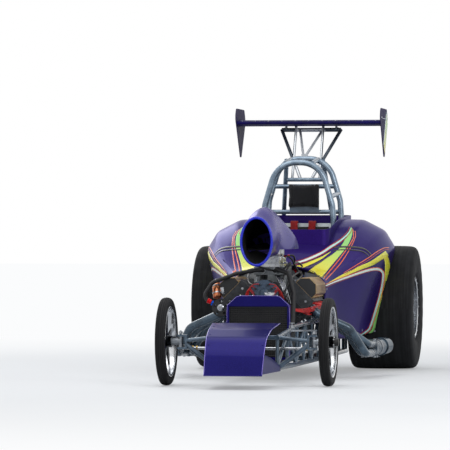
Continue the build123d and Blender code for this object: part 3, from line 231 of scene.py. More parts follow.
def slick_rubber():
    """Soft slick compound: black, with grey scuffs drawn out round the tread and rubber crumbs."""
    material = finish(
        "scuffed_slick_rubber", "#0c0d10", "#17181b", 0.86, mottle=70, grain=1.6, relief=0.2,
        **{"Specular IOR Level": 0.3},
    )
    tree, body, coords = parts_of(material)
    round_it = add(tree, "ShaderNodeMapping", {"Scale": (1.4, 55.0, 1.0)}, {"Vector": coords.outputs["UV"]})
    streaks = add(tree, "ShaderNodeTexNoise", {"Scale": 1.0, "Detail": 5.0, "Roughness": 0.65}, {
        "Vector": round_it.outputs["Vector"],
    })
    crumbs = add(tree, "ShaderNodeTexVoronoi", {"Scale": 1000 / 9}, {"Vector": coords.outputs["Object"]})
    tones = ((0.42, "#0c0d10"), (0.62, "#1d1e21"), (0.78, "#35363a"))
    scuff = add(tree, "ShaderNodeValToRGB", {"stops": tones}, {"Fac": streaks.outputs["Fac"]})
    speck = add(tree, "ShaderNodeMapRange", {
        "From Min": 0.0, "From Max": 0.22, "To Min": 0.35, "To Max": 0.0,
    }, {"Value": crumbs.outputs["Distance"]})
    mixed = add(tree, "ShaderNodeMix", {"data_type": "RGBA", 7: srgb("#2b2c30")}, {
        "Factor": speck.outputs["Result"], 6: scuff.outputs["Color"],
    })
    tree.links.new(mixed.outputs[2], body.inputs["Base Color"])
    return material


slick_compound = slick_rubber()
# Polished spun aluminium of the rims: bright, with a faint turning grain
polished_alloy = finish(
    "polished_spun_aluminium", "#c3c6ca", "#d8dadd", 0.14, mottle=60, grain=0.8, relief=0.02, uneven=0.05,
    Metallic=1.0,
)
# Zinc plated small steel: bright with soft tarnish
bright_steel = finish(
    "zinc_plated_steel", "#9a9da2", "#b9bcc0", 0.26, mottle=18, grain=0.8, relief=0.03, Metallic=1.0,
)
# Bare machined steel of shafts and knuckles
machined_steel = finish(
    "machined_steel", "#7d8288", "#989da3", 0.34, mottle=35, grain=0.7, relief=0.03, Metallic=1.0,
)
# Sand cast aluminium of heads, intake and gearbox: grey, matt, gritty
cast_alloy = finish(
    "sand_cast_aluminium", "#63676b", "#85898c", 0.46, mottle=30, grain=1.5, relief=0.25, Metallic=0.9,
)
# Tumbled aluminium of the carburettors: bright and even
carb_alloy = finish(
    "tumbled_aluminium", "#b5b7b8", "#d0d2d3", 0.3, mottle=14, grain=1.0, relief=0.06, Metallic=1.0,
)
# Rolled sheet aluminium of floor, firewall, seat and tank: brushed along the car
rolled_alloy = finish(
    "brushed_sheet_aluminium", "#8e9296", "#aab0b4", 0.34, mottle=60, grain=1.2, relief=0.04,
    stretch=(1, 0.06, 1), Metallic=1.0,
)
# Blue-grey metallic frame paint: satin, cool, paler here and there
frame_paint = finish(
    "blue_grey_frame_enamel", "#3f4f5e", "#5b6f81", 0.34, mottle=55, grain=2, relief=0.03, **{
        "Metallic": 0.45, "Coat Weight": 0.6, "Coat Roughness": 0.12,
    },
)
# Silver-grey metallic paint of the roll cage: paler than the frame, with a soft sheen
cage_paint = finish("silver_grey_cage_enamel", "#66788a", "#8fa1b0", 0.3, mottle=70, grain=2, relief=0.03, **{
    "Metallic": 0.55, "Coat Weight": 0.4, "Coat Roughness": 0.12,
})
# Satin black powder coat of pulleys, pumps and the axle housing
black_coat = finish("satin_black_powder_coat", "#0e0f12", "#191b1f", 0.42, mottle=30, grain=1.4, relief=0.1)
# Engine enamel over cast iron: dark, oily, coarse
engine_enamel = finish(
    "black_engine_enamel", "#15171b", "#262a30", 0.4, mottle=45, grain=2.2, relief=0.3,
    **{"Coat Weight": 0.3, "Coat Roughness": 0.2},
)
# Painted cast iron of the cylinder heads: dark grey, coarse, matt
head_iron = finish(
    "painted_cast_iron", "#2a2c2f", "#43464a", 0.5, mottle=28, grain=2.0, relief=0.3, Metallic=0.4,
)
# Bronze anodised valve covers: warm tan with a satin sheen
bronze_cover = finish(
    "bronze_anodised_aluminium", "#a68a60", "#b2976d", 0.34, mottle=220, grain=1.2, relief=0.06,
    Metallic=0.85,
)
# Dark ceramic coat of the headers: blue-black, semi gloss, paler in patches
ceramic_coat = finish(
    "dark_ceramic_pipe_coat", "#263440", "#4c6070", 0.27, mottle=80, grain=1.8, relief=0.05, **{
        "Metallic": 0.55, "Coat Weight": 0.35, "Coat Roughness": 0.15,
    },
)
# Moulded grey-blue cap of the magneto
cap_plastic = finish(
    "moulded_grey_blue_plastic", "#3a4a5c", "#50647a", 0.38, mottle=16, grain=1.0, relief=0.05,
)
# Moulded black plastic of the clips, handles and switches
black_plastic = finish("moulded_black_plastic", "#0c0c0e", "#151518", 0.4, mottle=16, grain=1.0, relief=0.06)
# Red silicone of leads and boots: soft sheen
red_silicone = finish("red_silicone_sleeve", "#a31418", "#c8231f", 0.45, mottle=20, grain=1.5, relief=0.05)
# Anodised red and blue hose ends: saturated, metallic
red_anodised = finish("red_anodised_fitting", "#a80f18", "#cc1d22", 0.28, mottle=10, Metallic=0.9)
blue_anodised = finish("blue_anodised_fitting", "#143fa6", "#1f57cc", 0.28, mottle=10, Metallic=0.9)
# Copper toned canister by the oil pump
copper_can = finish("copper_plated_canister", "#a85c3a", "#d08a62", 0.3, mottle=20, Metallic=0.9)
# Gold passivated linkage parts
gold_zinc = finish("gold_passivated_steel", "#9a7e3c", "#bd9f58", 0.32, mottle=12, Metallic=1.0)
# Red enamel of the extinguisher bottle
red_enamel = finish(
    "red_bottle_enamel", "#9c1216", "#b51c1e", 0.25, mottle=60,
    **{"Coat Weight": 0.8, "Coat Roughness": 0.06},
)
# Deep indigo wing enamel, satin: dark all over, a soft light along its upper edge
wing_skin = finish(
    "indigo_wing_enamel", "#0c0838", "#150e52", 0.5, mottle=120, grain=2, relief=0.02,
    **{"Specular IOR Level": 0.06},
)
# Black enamel dial faces, set behind their bezels
dial_face = finish("black_dial_enamel", "#090a0c", "#101114", 0.3, mottle=20)
# White enamel of dial marks and needle
dial_mark = finish("white_dial_enamel", "#d9d9d4", "#e8e8e4", 0.4, mottle=20)


def braided_hose(name, dark, pale, pitch):
    """Woven sleeve over rubber: a diamond lattice whose pitch is drawn coarse enough to show."""
    material = finish(name, dark, pale, 0.6, mottle=25, grain=pitch)
    tree, body, coords = parts_of(material)
    strands = {}
    for i in range(2):
        turned = add(
            tree, "ShaderNodeMapping", {"Rotation": (0, 0, i * pi / 2)}, {"Vector": coords.outputs["Object"]},
        )
        wave = add(tree, "ShaderNodeTexWave", {
            "Scale": 1000 / pitch / BAND_SCALE, "wave_type": "BANDS", "bands_direction": "DIAGONAL",
        }, {"Vector": turned.outputs["Vector"]})
        strands[i] = wave.outputs["Fac"]
    lattice = add(tree, "ShaderNodeMath", {"operation": "MAXIMUM"}, strands)
    bump = add(tree, "ShaderNodeBump", {"Distance": 0.0006}, {"Height": lattice.outputs["Value"]})
    tree.links.new(bump.outputs["Normal"], body.inputs["Normal"])
    return material


hose_braid = braided_hose("black_braided_hose", "#0b0b0d", "#1b1b1f", 4.0)


def woven(name, dark, pale, thread, sheen=0.25):
    """Plain weave: two crossing sets of raised threads, each that many millimetres wide."""
    material = finish(name, dark, pale, 0.85, mottle=45, **{
        "Sheen Weight": sheen, "Sheen Roughness": 0.5, "Specular IOR Level": 0.3,
    })
    tree, body, coords = parts_of(material)
    threads = {}
    for i, direction in enumerate("XZ"):
        wave = add(tree, "ShaderNodeTexWave", {
            "Scale": 1000 / thread / BAND_SCALE, "bands_direction": direction, "Distortion": 0.4,
        }, {"Vector": coords.outputs["Object"]})
        threads[i] = wave.outputs["Fac"]
    crossed = add(tree, "ShaderNodeMath", {"operation": "MULTIPLY"}, threads)
    bump = add(
        tree, "ShaderNodeBump", {"Distance": 0.0007, "Strength": 0.8}, {"Height": crossed.outputs["Value"]},
    )
    tree.links.new(bump.outputs["Normal"], body.inputs["Normal"])
    return material


# Black nylon of the seat and head pads, thread drawn 3 mm coarse
pad_cloth = woven("black_woven_nylon", "#0e0e11", "#1a1a1e", 3.0)
# Parachute pack canvas, slightly bluer
pack_canvas = woven("black_pack_canvas", "#0f1014", "#1d1f26", 4.0)
# Red webbing of the seat harness: close ribs, little shine
red_webbing = woven("red_harness_webbing", "#7c1014", "#9a1a1c", 3.0, 0.15)
black_webbing = woven("black_strap_webbing", "#0d0d10", "#17171b", 3.0, 0.15)


def strut_finish():
    """Wing struts: grey steel outside, bright polished steel for the pair that meets in the middle."""
    material = finish("grey_and_polished_strut_steel", "#3c444e", "#525b66", 0.32, mottle=40, Metallic=0.6)
    tree, body, coords = parts_of(material)
    place = add(tree, "ShaderNodeSeparateXYZ", links={"Vector": coords.outputs["Object"]})
    across = add(tree, "ShaderNodeMath", {"operation": "ABSOLUTE"}, {0: place.outputs["X"]})
    inner = add(tree, "ShaderNodeMath", {"operation": "LESS_THAN", 1: 0.1}, {0: across.outputs["Value"]})
    bright = add(tree, "ShaderNodeMix", {"data_type": "RGBA", 7: srgb("#c3c7cb")}, {
        "Factor": inner.outputs["Value"], 6: colour_of(body),
    })
    tree.links.new(bright.outputs[2], body.inputs["Base Color"])
    return material


strut_steel = strut_finish()


def front_rim_finish():
    """Front rims: near-black centre and spokes, within 176 mm of the axle, inside a polished outer band."""
    material = finish(
        "black_centred_polished_rim", "#c3c6ca", "#d8dadd", 0.16, mottle=60, grain=0.8, relief=0.02,
        uneven=0.05, Metallic=1.0,
    )
    tree, body, coords = parts_of(material)
    low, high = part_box("front_rim_left")
    middle = add(tree, "ShaderNodeMapping", {
        "Location": (0, -(low[1] + high[1]) / 2, -(low[2] + high[2]) / 2), "Scale": (0, 1, 1),
    }, {"Vector": coords.outputs["Object"]})
    radius = add(tree, "ShaderNodeVectorMath", {"operation": "LENGTH"}, {0: middle.outputs["Vector"]})
    centre = add(tree, "ShaderNodeMath", {"operation": "LESS_THAN", 1: 0.176}, {0: radius.outputs["Value"]})
    colour = add(tree, "ShaderNodeMix", {"data_type": "RGBA", 7: srgb("#1b1d21")}, {
        "Factor": centre.outputs["Value"], 6: colour_of(body),
    })
    tree.links.new(colour.outputs[2], body.inputs["Base Color"])
    return material


front_rim_alloy = front_rim_finish()


def core_finish():
    """Radiator core: matt black folded fins, drawn 6 mm wide so that they show."""
    material = finish("black_finned_core", "#05060a", "#0b0c12", 0.7, mottle=80)
    tree, body, coords = parts_of(material)
    fins = add(tree, "ShaderNodeTexWave", {"Scale": 1000 / 6 / BAND_SCALE, "bands_direction": "Z"}, {
        "Vector": coords.outputs["Object"],
    })
    bump = add(tree, "ShaderNodeBump", {"Distance": 0.0015}, {"Height": fins.outputs["Fac"]})
    tree.links.new(bump.outputs["Normal"], body.inputs["Normal"])
    return material


core_black = core_finish()


def scoop_paint_shaded_inside():
    """The scoop's violet lacquer outside, and painted shade of matt black on the faces that look in at its
    middle line.
    """
    material = flake_paint("scoop_violet_lacquer", "#2b2164", "#3d2f82", "#6b4ad4", 0.28)
    tree, body, coords = parts_of(material)
    from_middle = add(tree, "ShaderNodeMapping", {"Location": (0, 0, -0.93), "Scale": (1, 0, 1)}, {
        "Vector": coords.outputs["Object"],
    })
    facing = add(tree, "ShaderNodeVectorMath", {"operation": "DOT_PRODUCT"}, {
        0: from_middle.outputs["Vector"], 1: coords.outputs["Normal"],
    })
    # painted shade: faces turned in towards the middle line are matt black
    inside = add(tree, "ShaderNodeMath", {"operation": "LESS_THAN", 1: 0.0}, {0: facing.outputs["Value"]})
    black = add(tree, "ShaderNodeBsdfPrincipled", {"Base Color": srgb("#07080b"), "Roughness": 0.85})
    both = add(tree, "ShaderNodeMixShader", links={
        "Fac": inside.outputs["Value"], 1: body.outputs["BSDF"], 2: black.outputs["BSDF"],
    })
    tree.links.new(both.outputs["Shader"], surface_of(tree))
    return material


scoop_paint = scoop_paint_shaded_inside()

# Making pieces


def keep(bm, name, material, body="chassis", turn=32, stands_for=(), wrap=None, outward=True):
    """Moves a bmesh made in car millimetres into the frame and makes it a piece of a body."""
    if outward:
        bmesh.ops.recalc_face_normals(bm, faces=bm.faces)
    bmesh.ops.transform(bm, matrix=TO_ROW, verts=bm.verts)
    for face in bm.faces:
        face.smooth = True
    for edge in bm.edges:
        edge.smooth = edge.calc_face_angle(0) < radians(turn)
    if wrap:
        wrap_round(bm, *wrap)
    mesh = bpy.data.meshes.new(name)
    bm.to_mesh(mesh)
    bm.free()
    piece = bpy.data.objects.new(name, mesh)
    bpy.context.scene.collection.objects.link(piece)
    for each in material if isinstance(material, list) else [material]:
        mesh.materials.append(each)
    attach(piece, body)
    if stands_for:
        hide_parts(*stands_for)
    return piece


def wrap_round(bm, y, z):
    """UV map round an axle: metres along the tread, then across it."""
    layer = bm.loops.layers.uv.verify()
    middle = row(0, y, z)
    for face in bm.faces:
        turns = [atan2(loop.vert.co.z - middle.z, loop.vert.co.y - middle.y) for loop in face.loops]
        if max(turns) - min(turns) > pi:
            turns = [t + 2 * pi if t < 0 else t for t in turns]
        for loop, t in zip(face.loops, turns):
            loop[layer].uv = (t * z / 1000, loop.vert.co.x)


def settle(bm, before, way=None, at=(0, 0, 0), turn=None):
    """Turns the vertices that are new since before, then moves them to their place."""
    fresh = [v for v in bm.verts if v not in before]
    if way is not None:
        turn = Vector((0, 0, 1)).rotation_difference(Vector(way)).to_matrix()
    if turn is not None:
        bmesh.ops.rotate(bm, cent=(0, 0, 0), matrix=turn, verts=fresh)
    bmesh.ops.translate(bm, vec=Vector(at), verts=fresh)
    return fresh


def block(bm, at, size, turn=None, soften=1.5, steps=2):
    """Block with softened edges."""
    before = set(bm.verts)
    made = bmesh.ops.create_cube(bm, size=1.0)["verts"]
    bmesh.ops.scale(bm, vec=Vector(size), verts=made)
    if soften:
        edges = list({e for v in made for e in v.link_edges})
        bmesh.ops.bevel(
            bm, geom=edges, offset=soften, offset_type="OFFSET", segments=steps, profile=0.5,
            affect="EDGES", material=-1, clamp_overlap=True,
        )
    return settle(bm, before, at=at, turn=turn)


def drum(bm, at, way, radius, length, segments=32, top=None, soften=0.0):
    """Round bar or cone from its foot, with softened rims."""
    before = set(bm.verts)
    made = bmesh.ops.create_cone(
        bm, cap_ends=True, cap_tris=False, segments=segments, radius1=radius,
        radius2=radius if top is None else top, depth=length,
    )["verts"]
    bmesh.ops.translate(bm, vec=(0, 0, length / 2), verts=made)
    if soften:
        rims = list({e for v in made for e in v.link_edges if abs(e.verts[0].co.z - e.verts[1].co.z) < 1e-6})
        bmesh.ops.bevel(
            bm, geom=rims, offset=soften, offset_type="OFFSET", segments=2, profile=0.5,
            affect="EDGES", material=-1, clamp_overlap=True,
        )
    return settle(bm, before, way=way, at=at)


def lathe(bm, outline, at, way, segments=64, closed=True):
    """Turned ring from an outline of (distance along, radius) points."""
    before = set(bm.verts)
    points = [bm.verts.new((radius, 0, along)) for along, radius in outline]
    edges = [bm.edges.new((a, b)) for a, b in zip(points, points[1:])]
    if closed:
        edges.append(bm.edges.new((points[-1], points[0])))
    bmesh.ops.spin(
        bm, geom=points + edges, cent=(0, 0, 0), axis=(0, 0, 1), angle=2 * pi, steps=segments,
        use_merge=True, use_duplicate=False,
    )
    fresh = [v for v in bm.verts if v not in before]
    bmesh.ops.remove_doubles(bm, verts=fresh, dist=0.001)
    return settle(bm, before, way=way, at=at)


def bolt(bm, at, way, size=12):
    """Hexagon head on its washer."""
    foot = Vector(at)
    rise = Vector(way).normalized()
    drum(bm, foot, way, size * 0.72, size * 0.14, segments=14)
    drum(bm, foot + rise * size * 0.13, way, size * 0.56, size * 0.5, segments=6, top=size * 0.52)


def ring_places(count, radius, at, start=0.0):
    """Places round an axle that lies across the car."""
    x, y, z = at
    return [
        (x, y + radius * sin(start + 2 * pi * i / count), z + radius * cos(start + 2 * pi * i / count))
        for i in range(count)
    ]


def only(kind, geometry):
    """The vertices or the faces among what an operator gives back."""
    return [g for g in geometry if isinstance(g, kind)]


def pulled(bm, corners, way):
    """Solid pulled from a face with those corners along way."""
    face = bm.faces.new([bm.verts.new(corner) for corner in corners])
    raised = bmesh.ops.extrude_face_region(bm, geom=[face])["geom"]
    bmesh.ops.translate(bm, vec=way, verts=only(bmesh.types.BMVert, raised))


def both_sides(bm):
    """Adds the mirror image across the car of everything made so far."""
    copy = bmesh.ops.duplicate(bm, geom=list(bm.verts) + list(bm.edges) + list(bm.faces))["geom"]
    bmesh.ops.scale(bm, vec=(-1, 1, 1), verts=only(bmesh.types.BMVert, copy))
    bmesh.ops.reverse_faces(bm, faces=only(bmesh.types.BMFace, copy))


def tubes(name, routes, radius, material, body="chassis", order=3, cyclic=False, rings=3):
    """Round leads, lines or beads along routes of points in car millimetres."""
    curve = bpy.data.curves.new(name, "CURVE")
    curve.dimensions = "3D"
    curve.bevel_depth = radius / 1000
    curve.bevel_resolution = rings
    curve.resolution_u = 6
    curve.use_fill_caps = True
    for route in routes:
        spline = curve.splines.new("NURBS")
        spline.points.add(len(route) - 1)
        for point, place in zip(spline.points, route):
            point.co = (*row(*place), 1.0)
        spline.use_cyclic_u = cyclic
        spline.use_endpoint_u = not cyclic
        spline.order_u = min(order, len(route))
    curve.materials.append(material)
    piece = bpy.data.objects.new(name, curve)
    bpy.context.scene.collection.objects.link(piece)
    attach(piece, body)
    return piece


def mirrored(routes):
    """Routes of the left side, and the same ones on the right."""
    return routes + [[(-x, y, z) for x, y, z in route] for route in routes]


def skin_of(node):
    """Search tree of a node's surface, in the frame."""
    mesh = nodes[node].data
    return BVHTree.FromPolygons([v.co for v in mesh.vertices], [p.vertices[:] for p in mesh.polygons])


def bank(u, v, y, side=1):
    """Place on a cylinder bank: u across it towards the exhaust, v out from the crank."""
    return (side * (u * cos(BANK) + v * sin(BANK)), y, CRANK_Z - u * sin(BANK) + v * cos(BANK))


BANK_TURN = Matrix.Rotation(BANK, 3, "Y")
BANK_U = Vector((cos(BANK), 0, -sin(BANK)))
BANK_V = Vector((sin(BANK), 0, cos(BANK)))

# Finishes of the frame's own nodes

node_finish = {
    "front_rim_left": front_rim_alloy, "front_rim_right": front_rim_alloy,
    "rear_rim_left": polished_alloy, "rear_rim_right": polished_alloy,
    "front_tyre_left": tyre_rubber, "front_tyre_right": tyre_rubber,
    "rear_tyre_left": slick_compound, "rear_tyre_right": slick_compound,
    "rear_axle_shaft": machined_steel, "rear_axle_housing": black_coat, "brake_calipers": black_coat,
    "front_axle": frame_paint, "knuckle_left": machined_steel, "knuckle_right": machined_steel,
    "tie_rod": bright_steel, "drag_link": bright_steel, "pitman_arm": machined_steel,
    "steering_box": black_coat, "steering_wheel": black_plastic,
    "side_frame_left": frame_paint, "side_frame_right": frame_paint, "crossmembers": frame_paint,
    "cage_hoops": cage_paint, "cage_bars": cage_paint,
    "engine_block": engine_enamel, "cylinder_heads": head_iron, "valve_covers": bronze_cover,
    "intake_manifold": cast_alloy, "carburettors": carb_alloy, "air_scoop": scoop_paint,
    "magneto": cap_plastic, "front_pulleys": black_coat, "oil_pump": black_coat,
    "header_left": ceramic_coat, "header_right": ceramic_coat, "gearbox": cast_alloy,
    "radiator_surround": indigo_paint, "radiator_core": core_black, "nose_cover": indigo_paint,
    "fuel_tank": rolled_alloy, "body_shell": violet_paint, "cockpit_cowl": violet_paint,
    "firewall": rolled_alloy, "floor_pan": rolled_alloy, "seat": rolled_alloy,
    "seat_pad": pad_cloth, "headrest": pad_cloth, "headrest_plate": frame_paint,
    "wing": wing_skin, "wing_end_plates": plate_paint, "wing_struts": strut_steel,
    "chute_tray": rolled_alloy, "parachute_pack": pack_canvas, "tow_eye": machined_steel, "hoses": hose_braid,
}
for node, obj in nodes.items():
    obj.data.materials.clear()
    obj.data.materials.append(node_finish[node])
    obj.data.polygons.foreach_set("use_smooth", [True] * len(obj.data.polygons))
    weld = obj.modifiers.new("joined", "WELD")
    weld.merge_threshold = 0.00002
    crisp = obj.modifiers.new("crisp_edges", "EDGE_SPLIT")
    crisp.split_angle = radians(28)
    if node != "wing":
        even = obj.modifiers.new("even_shading", "WEIGHTED_NORMAL")
        even.keep_sharp = True

# Camera, lamps and floor

# The camera's place in metres, its direction and its lens, solved from the photograph
EYE = Vector((3.477, -25.346, 1.03))
# How far the view runs off the car's length, and how much it falls with distance
YAW, DIP = radians(8.63), 1.8 / 3807
LOOK = Vector((-sin(YAW), cos(YAW), -DIP)).normalized()
LENS, SENSOR, FRAME_PX = 304.6, 36.0, 450
camera_data = bpy.data.cameras.new("front_quarter_camera")
camera_data.lens = LENS
camera_data.sensor_width = SENSOR
camera_data.clip_end = 200
camera = bpy.data.objects.new("front_quarter_camera", camera_data)
camera.location = EYE
camera.rotation_euler = LOOK.to_track_quat("-Z", "Y").to_euler()
bpy.context.scene.collection.objects.link(camera)
bpy.context.scene.camera = camera

world = bpy.data.worlds.new("white_studio")
bpy.context.scene.world = world
world.use_nodes = True
air = world.node_tree
air.nodes.clear()
# White to the eye, in reflections and through glass, and a plain half light on everything else
ray = add(air, "ShaderNodeLightPath")
seen = add(air, "ShaderNodeMath", {"operation": "MAXIMUM"}, {
    0: ray.outputs["Is Camera Ray"], 1: ray.outputs["Is Glossy Ray"],
})
seen_all = add(air, "ShaderNodeMath", {"operation": "MAXIMUM"}, {
    0: seen.outputs["Value"], 1: ray.outputs["Is Transmission Ray"],
})
dim = add(air, "ShaderNodeBackground", {"Color": srgb("#eef2f8"), "Strength": 0.5})
clear = add(air, "ShaderNodeBackground", {"Color": (1, 1, 1, 1), "Strength": 1.0})
sky = add(air, "ShaderNodeMixShader", links={
    "Fac": seen_all.outputs["Value"], 1: dim.outputs["Background"], 2: clear.outputs["Background"],
})
add(air, "ShaderNodeOutputWorld", links={"Surface": sky.outputs["Shader"]})

# Columns: name, place, target, size, watts
for name, place, target, size, watts in (
    ("soft_overhead", (-1.0, -1.5, 6.5), (0, -0.2, 0.5), 6.0, 215),
    ("soft_front_left", (5.5, -8.0, 4.0), (0, 0, 0.5), 4.0, 260),
    ("soft_rear", (-4.0, 6.5, 4.5), (0, 0.5, 0.6), 4.0, 140),
):
    lamp = bpy.data.lights.new(name, "AREA")
    lamp.shape = "SQUARE"
    lamp.size = size
    lamp.energy = watts
    stand = bpy.data.objects.new(name, lamp)
    stand.location = place
    stand.rotation_euler = (Vector(target) - Vector(place)).to_track_quat("-Z", "Y").to_euler()
    bpy.context.scene.collection.objects.link(stand)

floor_bm = bmesh.new()
bmesh.ops.create_grid(floor_bm, x_segments=2, y_segments=2, size=70.0)
floor_mesh = bpy.data.meshes.new("studio_floor")
floor_bm.to_mesh(floor_mesh)
floor_bm.free()
floor = bpy.data.objects.new("studio_floor", floor_mesh)
bpy.context.scene.collection.objects.link(floor)
# Pale matt floor paint, which keeps the car's shadow and clears to white far from it
floor_paint = finish(
    "pale_floor_paint", "#dfe1e3", "#e6e8ea", 0.8, mottle=2500, **{"Specular IOR Level": 0.15},
)
floor_mesh.materials.append(floor_paint)
tree, body, coords = parts_of(floor_paint)
away = add(tree, "ShaderNodeVectorMath", {"operation": "LENGTH"}, {0: coords.outputs["Object"]})
clearing = add(tree, "ShaderNodeMapRange", {
    "interpolation_type": "SMOOTHSTEP", "From Min": 2.4, "From Max": 9.0, "To Min": 0.3, "To Max": 1.0,
}, {"Value": away.outputs["Value"]})
seen_ray = add(tree, "ShaderNodeLightPath")
direct = add(tree, "ShaderNodeMath", {"operation": "MULTIPLY"}, {
    0: clearing.outputs["Result"], 1: seen_ray.outputs["Is Camera Ray"],
})
pale = add(tree, "ShaderNodeEmission", {"Color": srgb("#fbfcfd"), "Strength": 1.0})
floor_mix = add(tree, "ShaderNodeMixShader", links={
    "Fac": direct.outputs["Value"], 1: body.outputs["BSDF"], 2: pale.outputs["Emission"],
})
tree.links.new(floor_mix.outputs["Shader"], surface_of(tree))
bpy.context.scene.view_settings.view_transform = "Standard"

# Wheels

# Front tyre outline from the left bead over the ribbed crown to the right bead. Columns: across, radius
front_half_outline = [
    (22, 216), (22.5, 225), (27, 229), (31, 238), (33, 247), (32, 250), (32.6, 257), (30, 266.5), (25.5, 272),
    (20, 275.4), (
        18.6, 273.2,
    ), (16.2, 273.6), (15, 276.9), (9.6, 278.2), (8.4, 275.4), (6, 275.7), (4.8, 278.9),
]
front_outline = [(-a, r) for a, r in front_half_outline] + [(a, r) for a, r in reversed(front_half_outline)]
# Slick outline. Columns: across, radius
slick_half_outline = [
    (200, 212), (
        200.5, 222,
    ), (207, 229), (216, 238), (221, 243), (226, 256), (230, 272), (233, 296), (234.4, 325),
    (234, 352), (232, 378), (
        228.5, 398,
    ), (223.5, 411), (217, 419.5), (208, 425.6), (196, 429.8), (176, 432.4),
    (140, 433.8), (90, 434.6), (40, 435),
]
slick_outline = [(-a, r) for a, r in slick_half_outline] + [(a, r) for a, r in reversed(slick_half_outline)]

for side, word in ((1, "left"), (-1, "right")):
    bm = bmesh.new()
    lathe(bm, front_outline, (side * FRONT_X, 0, FRONT_Z), (side, 0, 0), segments=112)
    keep(bm, "front_tyre_" + word + "_ribbed", tyre_rubber, "front_wheel_" + word, turn=40,
         stands_for=["front_tyre_" + word], wrap=(0, FRONT_Z))

    bm = bmesh.new()
    fresh = lathe(bm, slick_outline, (0, 0, 0), (side, 0, 0), segments=144)
    for vert in fresh:
        # shallow folds of the soft sidewall
        radius = (vert.co.y ** 2 + vert.co.z ** 2) ** 0.5
        if 240 < radius < 400:
            depth = sin(pi * (radius - 240) / 160) * 1.3
            vert.co.x -= (1 if vert.co.x > 0 else -1) * depth * (1 + cos(24 * atan2(vert.co.y, vert.co.z)))
    bmesh.ops.translate(bm, vec=(side * REAR_X, REAR_Y, REAR_Z), verts=bm.verts)
    keep(bm, "rear_slick_" + word, slick_compound, "rear_wheels", turn=45,
         stands_for=["rear_tyre_" + word], wrap=(REAR_Y, REAR_Z))

    # Rolled lips, spoke bolts, valve and hub cap of the front wheel
    bm = bmesh.new()
    for face in (-1, 1):
        lathe(bm, [(0, 214), (1.5, 222.5), (3, 224.6), (4.6, 223.6), (4.2, 219), (2.6, 214)],
              (side * (FRONT_X + face * 27) - face * side * 2, 0, FRONT_Z), (face * side, 0, 0), segments=96)
    for place in ring_places(5, 30, (side * (FRONT_X + 33), 0, FRONT_Z), 0.3):
        bolt(bm, place, (side, 0, 0), 10)
    for place in ring_places(15, 206, (side * (FRONT_X + 24), 0, FRONT_Z)):
        drum(bm, place, (side, 0, 0), 3.2, 4, segments=10)
    keep(bm, "front_rim_lips_" + word, polished_alloy, "front_wheel_" + word)
    bm = bmesh.new()
    lathe(bm, [(0, 0), (0, 26), (8, 26.5), (16, 25), (30, 24.4), (33, 22), (35, 12), (35, 0)],
          (side * (FRONT_X + 33), 0, FRONT_Z), (side, 0, 0), segments=48, closed=False)
    drum(bm, (side * (FRONT_X + 20), 0, FRONT_Z - 203), (side * 0.5, 0, 1), 3.4, 26, segments=14, soften=0.8)
    keep(bm, "front_hub_cap_" + word, black_plastic, "front_wheel_" + word)

    # Beadlock ring with its bolts, wheel nuts, centre cap and valve of the rear wheel
    bm = bmesh.new()
    lathe(bm, [(0, 192), (0, 218), (6.5, 218), (8, 215), (8, 197), (5, 192)],
          (side * (REAR_X + 206), REAR_Y, REAR_Z), (side, 0, 0), segments=112)
    lathe(bm, [(0, 190), (0, 205), (3, 205), (6, 200), (6, 190)],
          (side * (REAR_X - 206), REAR_Y, REAR_Z), (-side, 0, 0), segments=96)
    lathe(bm, [(0, 70), (0, 84), (7, 80), (9, 74), (9, 70)],
          (side * (REAR_X - 106), REAR_Y, REAR_Z), (side, 0, 0), segments=64)
    keep(bm, "beadlock_ring_" + word, polished_alloy, "rear_wheels")
    bm = bmesh.new()
    for place in ring_places(20, 207, (side * (REAR_X + 213.5), REAR_Y, REAR_Z)):
        bolt(bm, place, (side, 0, 0), 9)
    for place in ring_places(5, 63.5, (side * (REAR_X - 106), REAR_Y, REAR_Z)):
        lathe(bm, [(0, 8), (0, 15), (5, 12.5), (20, 12), (22, 8)], place, (side, 0, 0), segments=6)
    for place in ring_places(20, 182, (side * (REAR_X - 118), REAR_Y, REAR_Z), 0.15):
        bolt(bm, place, (side, 0, 0), 7)
    keep(bm, "rear_wheel_nuts_" + word, bright_steel, "rear_wheels")
    bm = bmesh.new()
    lathe(bm, [(0, 0), (0, 38), (10, 37), (22, 30), (26, 22), (27, 0)],
          (side * (REAR_X - 106), REAR_Y, REAR_Z), (side, 0, 0), segments=48, closed=False)
    drum(bm, (side * (REAR_X + 150), REAR_Y + 196, REAR_Z), (side, -0.4, 0), 3.4, 30, segments=14, soften=0.8)
    keep(bm, "rear_centre_cap_" + word, black_plastic, "rear_wheels")

# Body stripes

shell = skin_of("body_shell")
RIGHT = LOOK.cross(Vector((0, 0, 1))).normalized()
UP = RIGHT.cross(LOOK).normalized()


def sight(u, v):
    """Direction from the eye through a place of the front view, in pixels of its frame."""
    scale = SENSOR / LENS / FRAME_PX
    return (LOOK + RIGHT * (u - FRAME_PX / 2) * scale + UP * (FRAME_PX / 2 - v) * scale).normalized()


def laid_on_shell(u, v, lift):
    """The point of the body shell on that line of sight, lifted off it, or None beside the shell."""
    way = sight(u, v)
    hit, normal = shell.ray_cast(EYE, way)[:2]
    # a line that passes over the scuttle and meets the shell's back wall is beside it too
    if hit is None or abs(hit.x) < 0.15 and hit.y > 0.6:
        return None
    if normal.dot(way) > 0:
        normal = -normal
    return hit + normal * lift


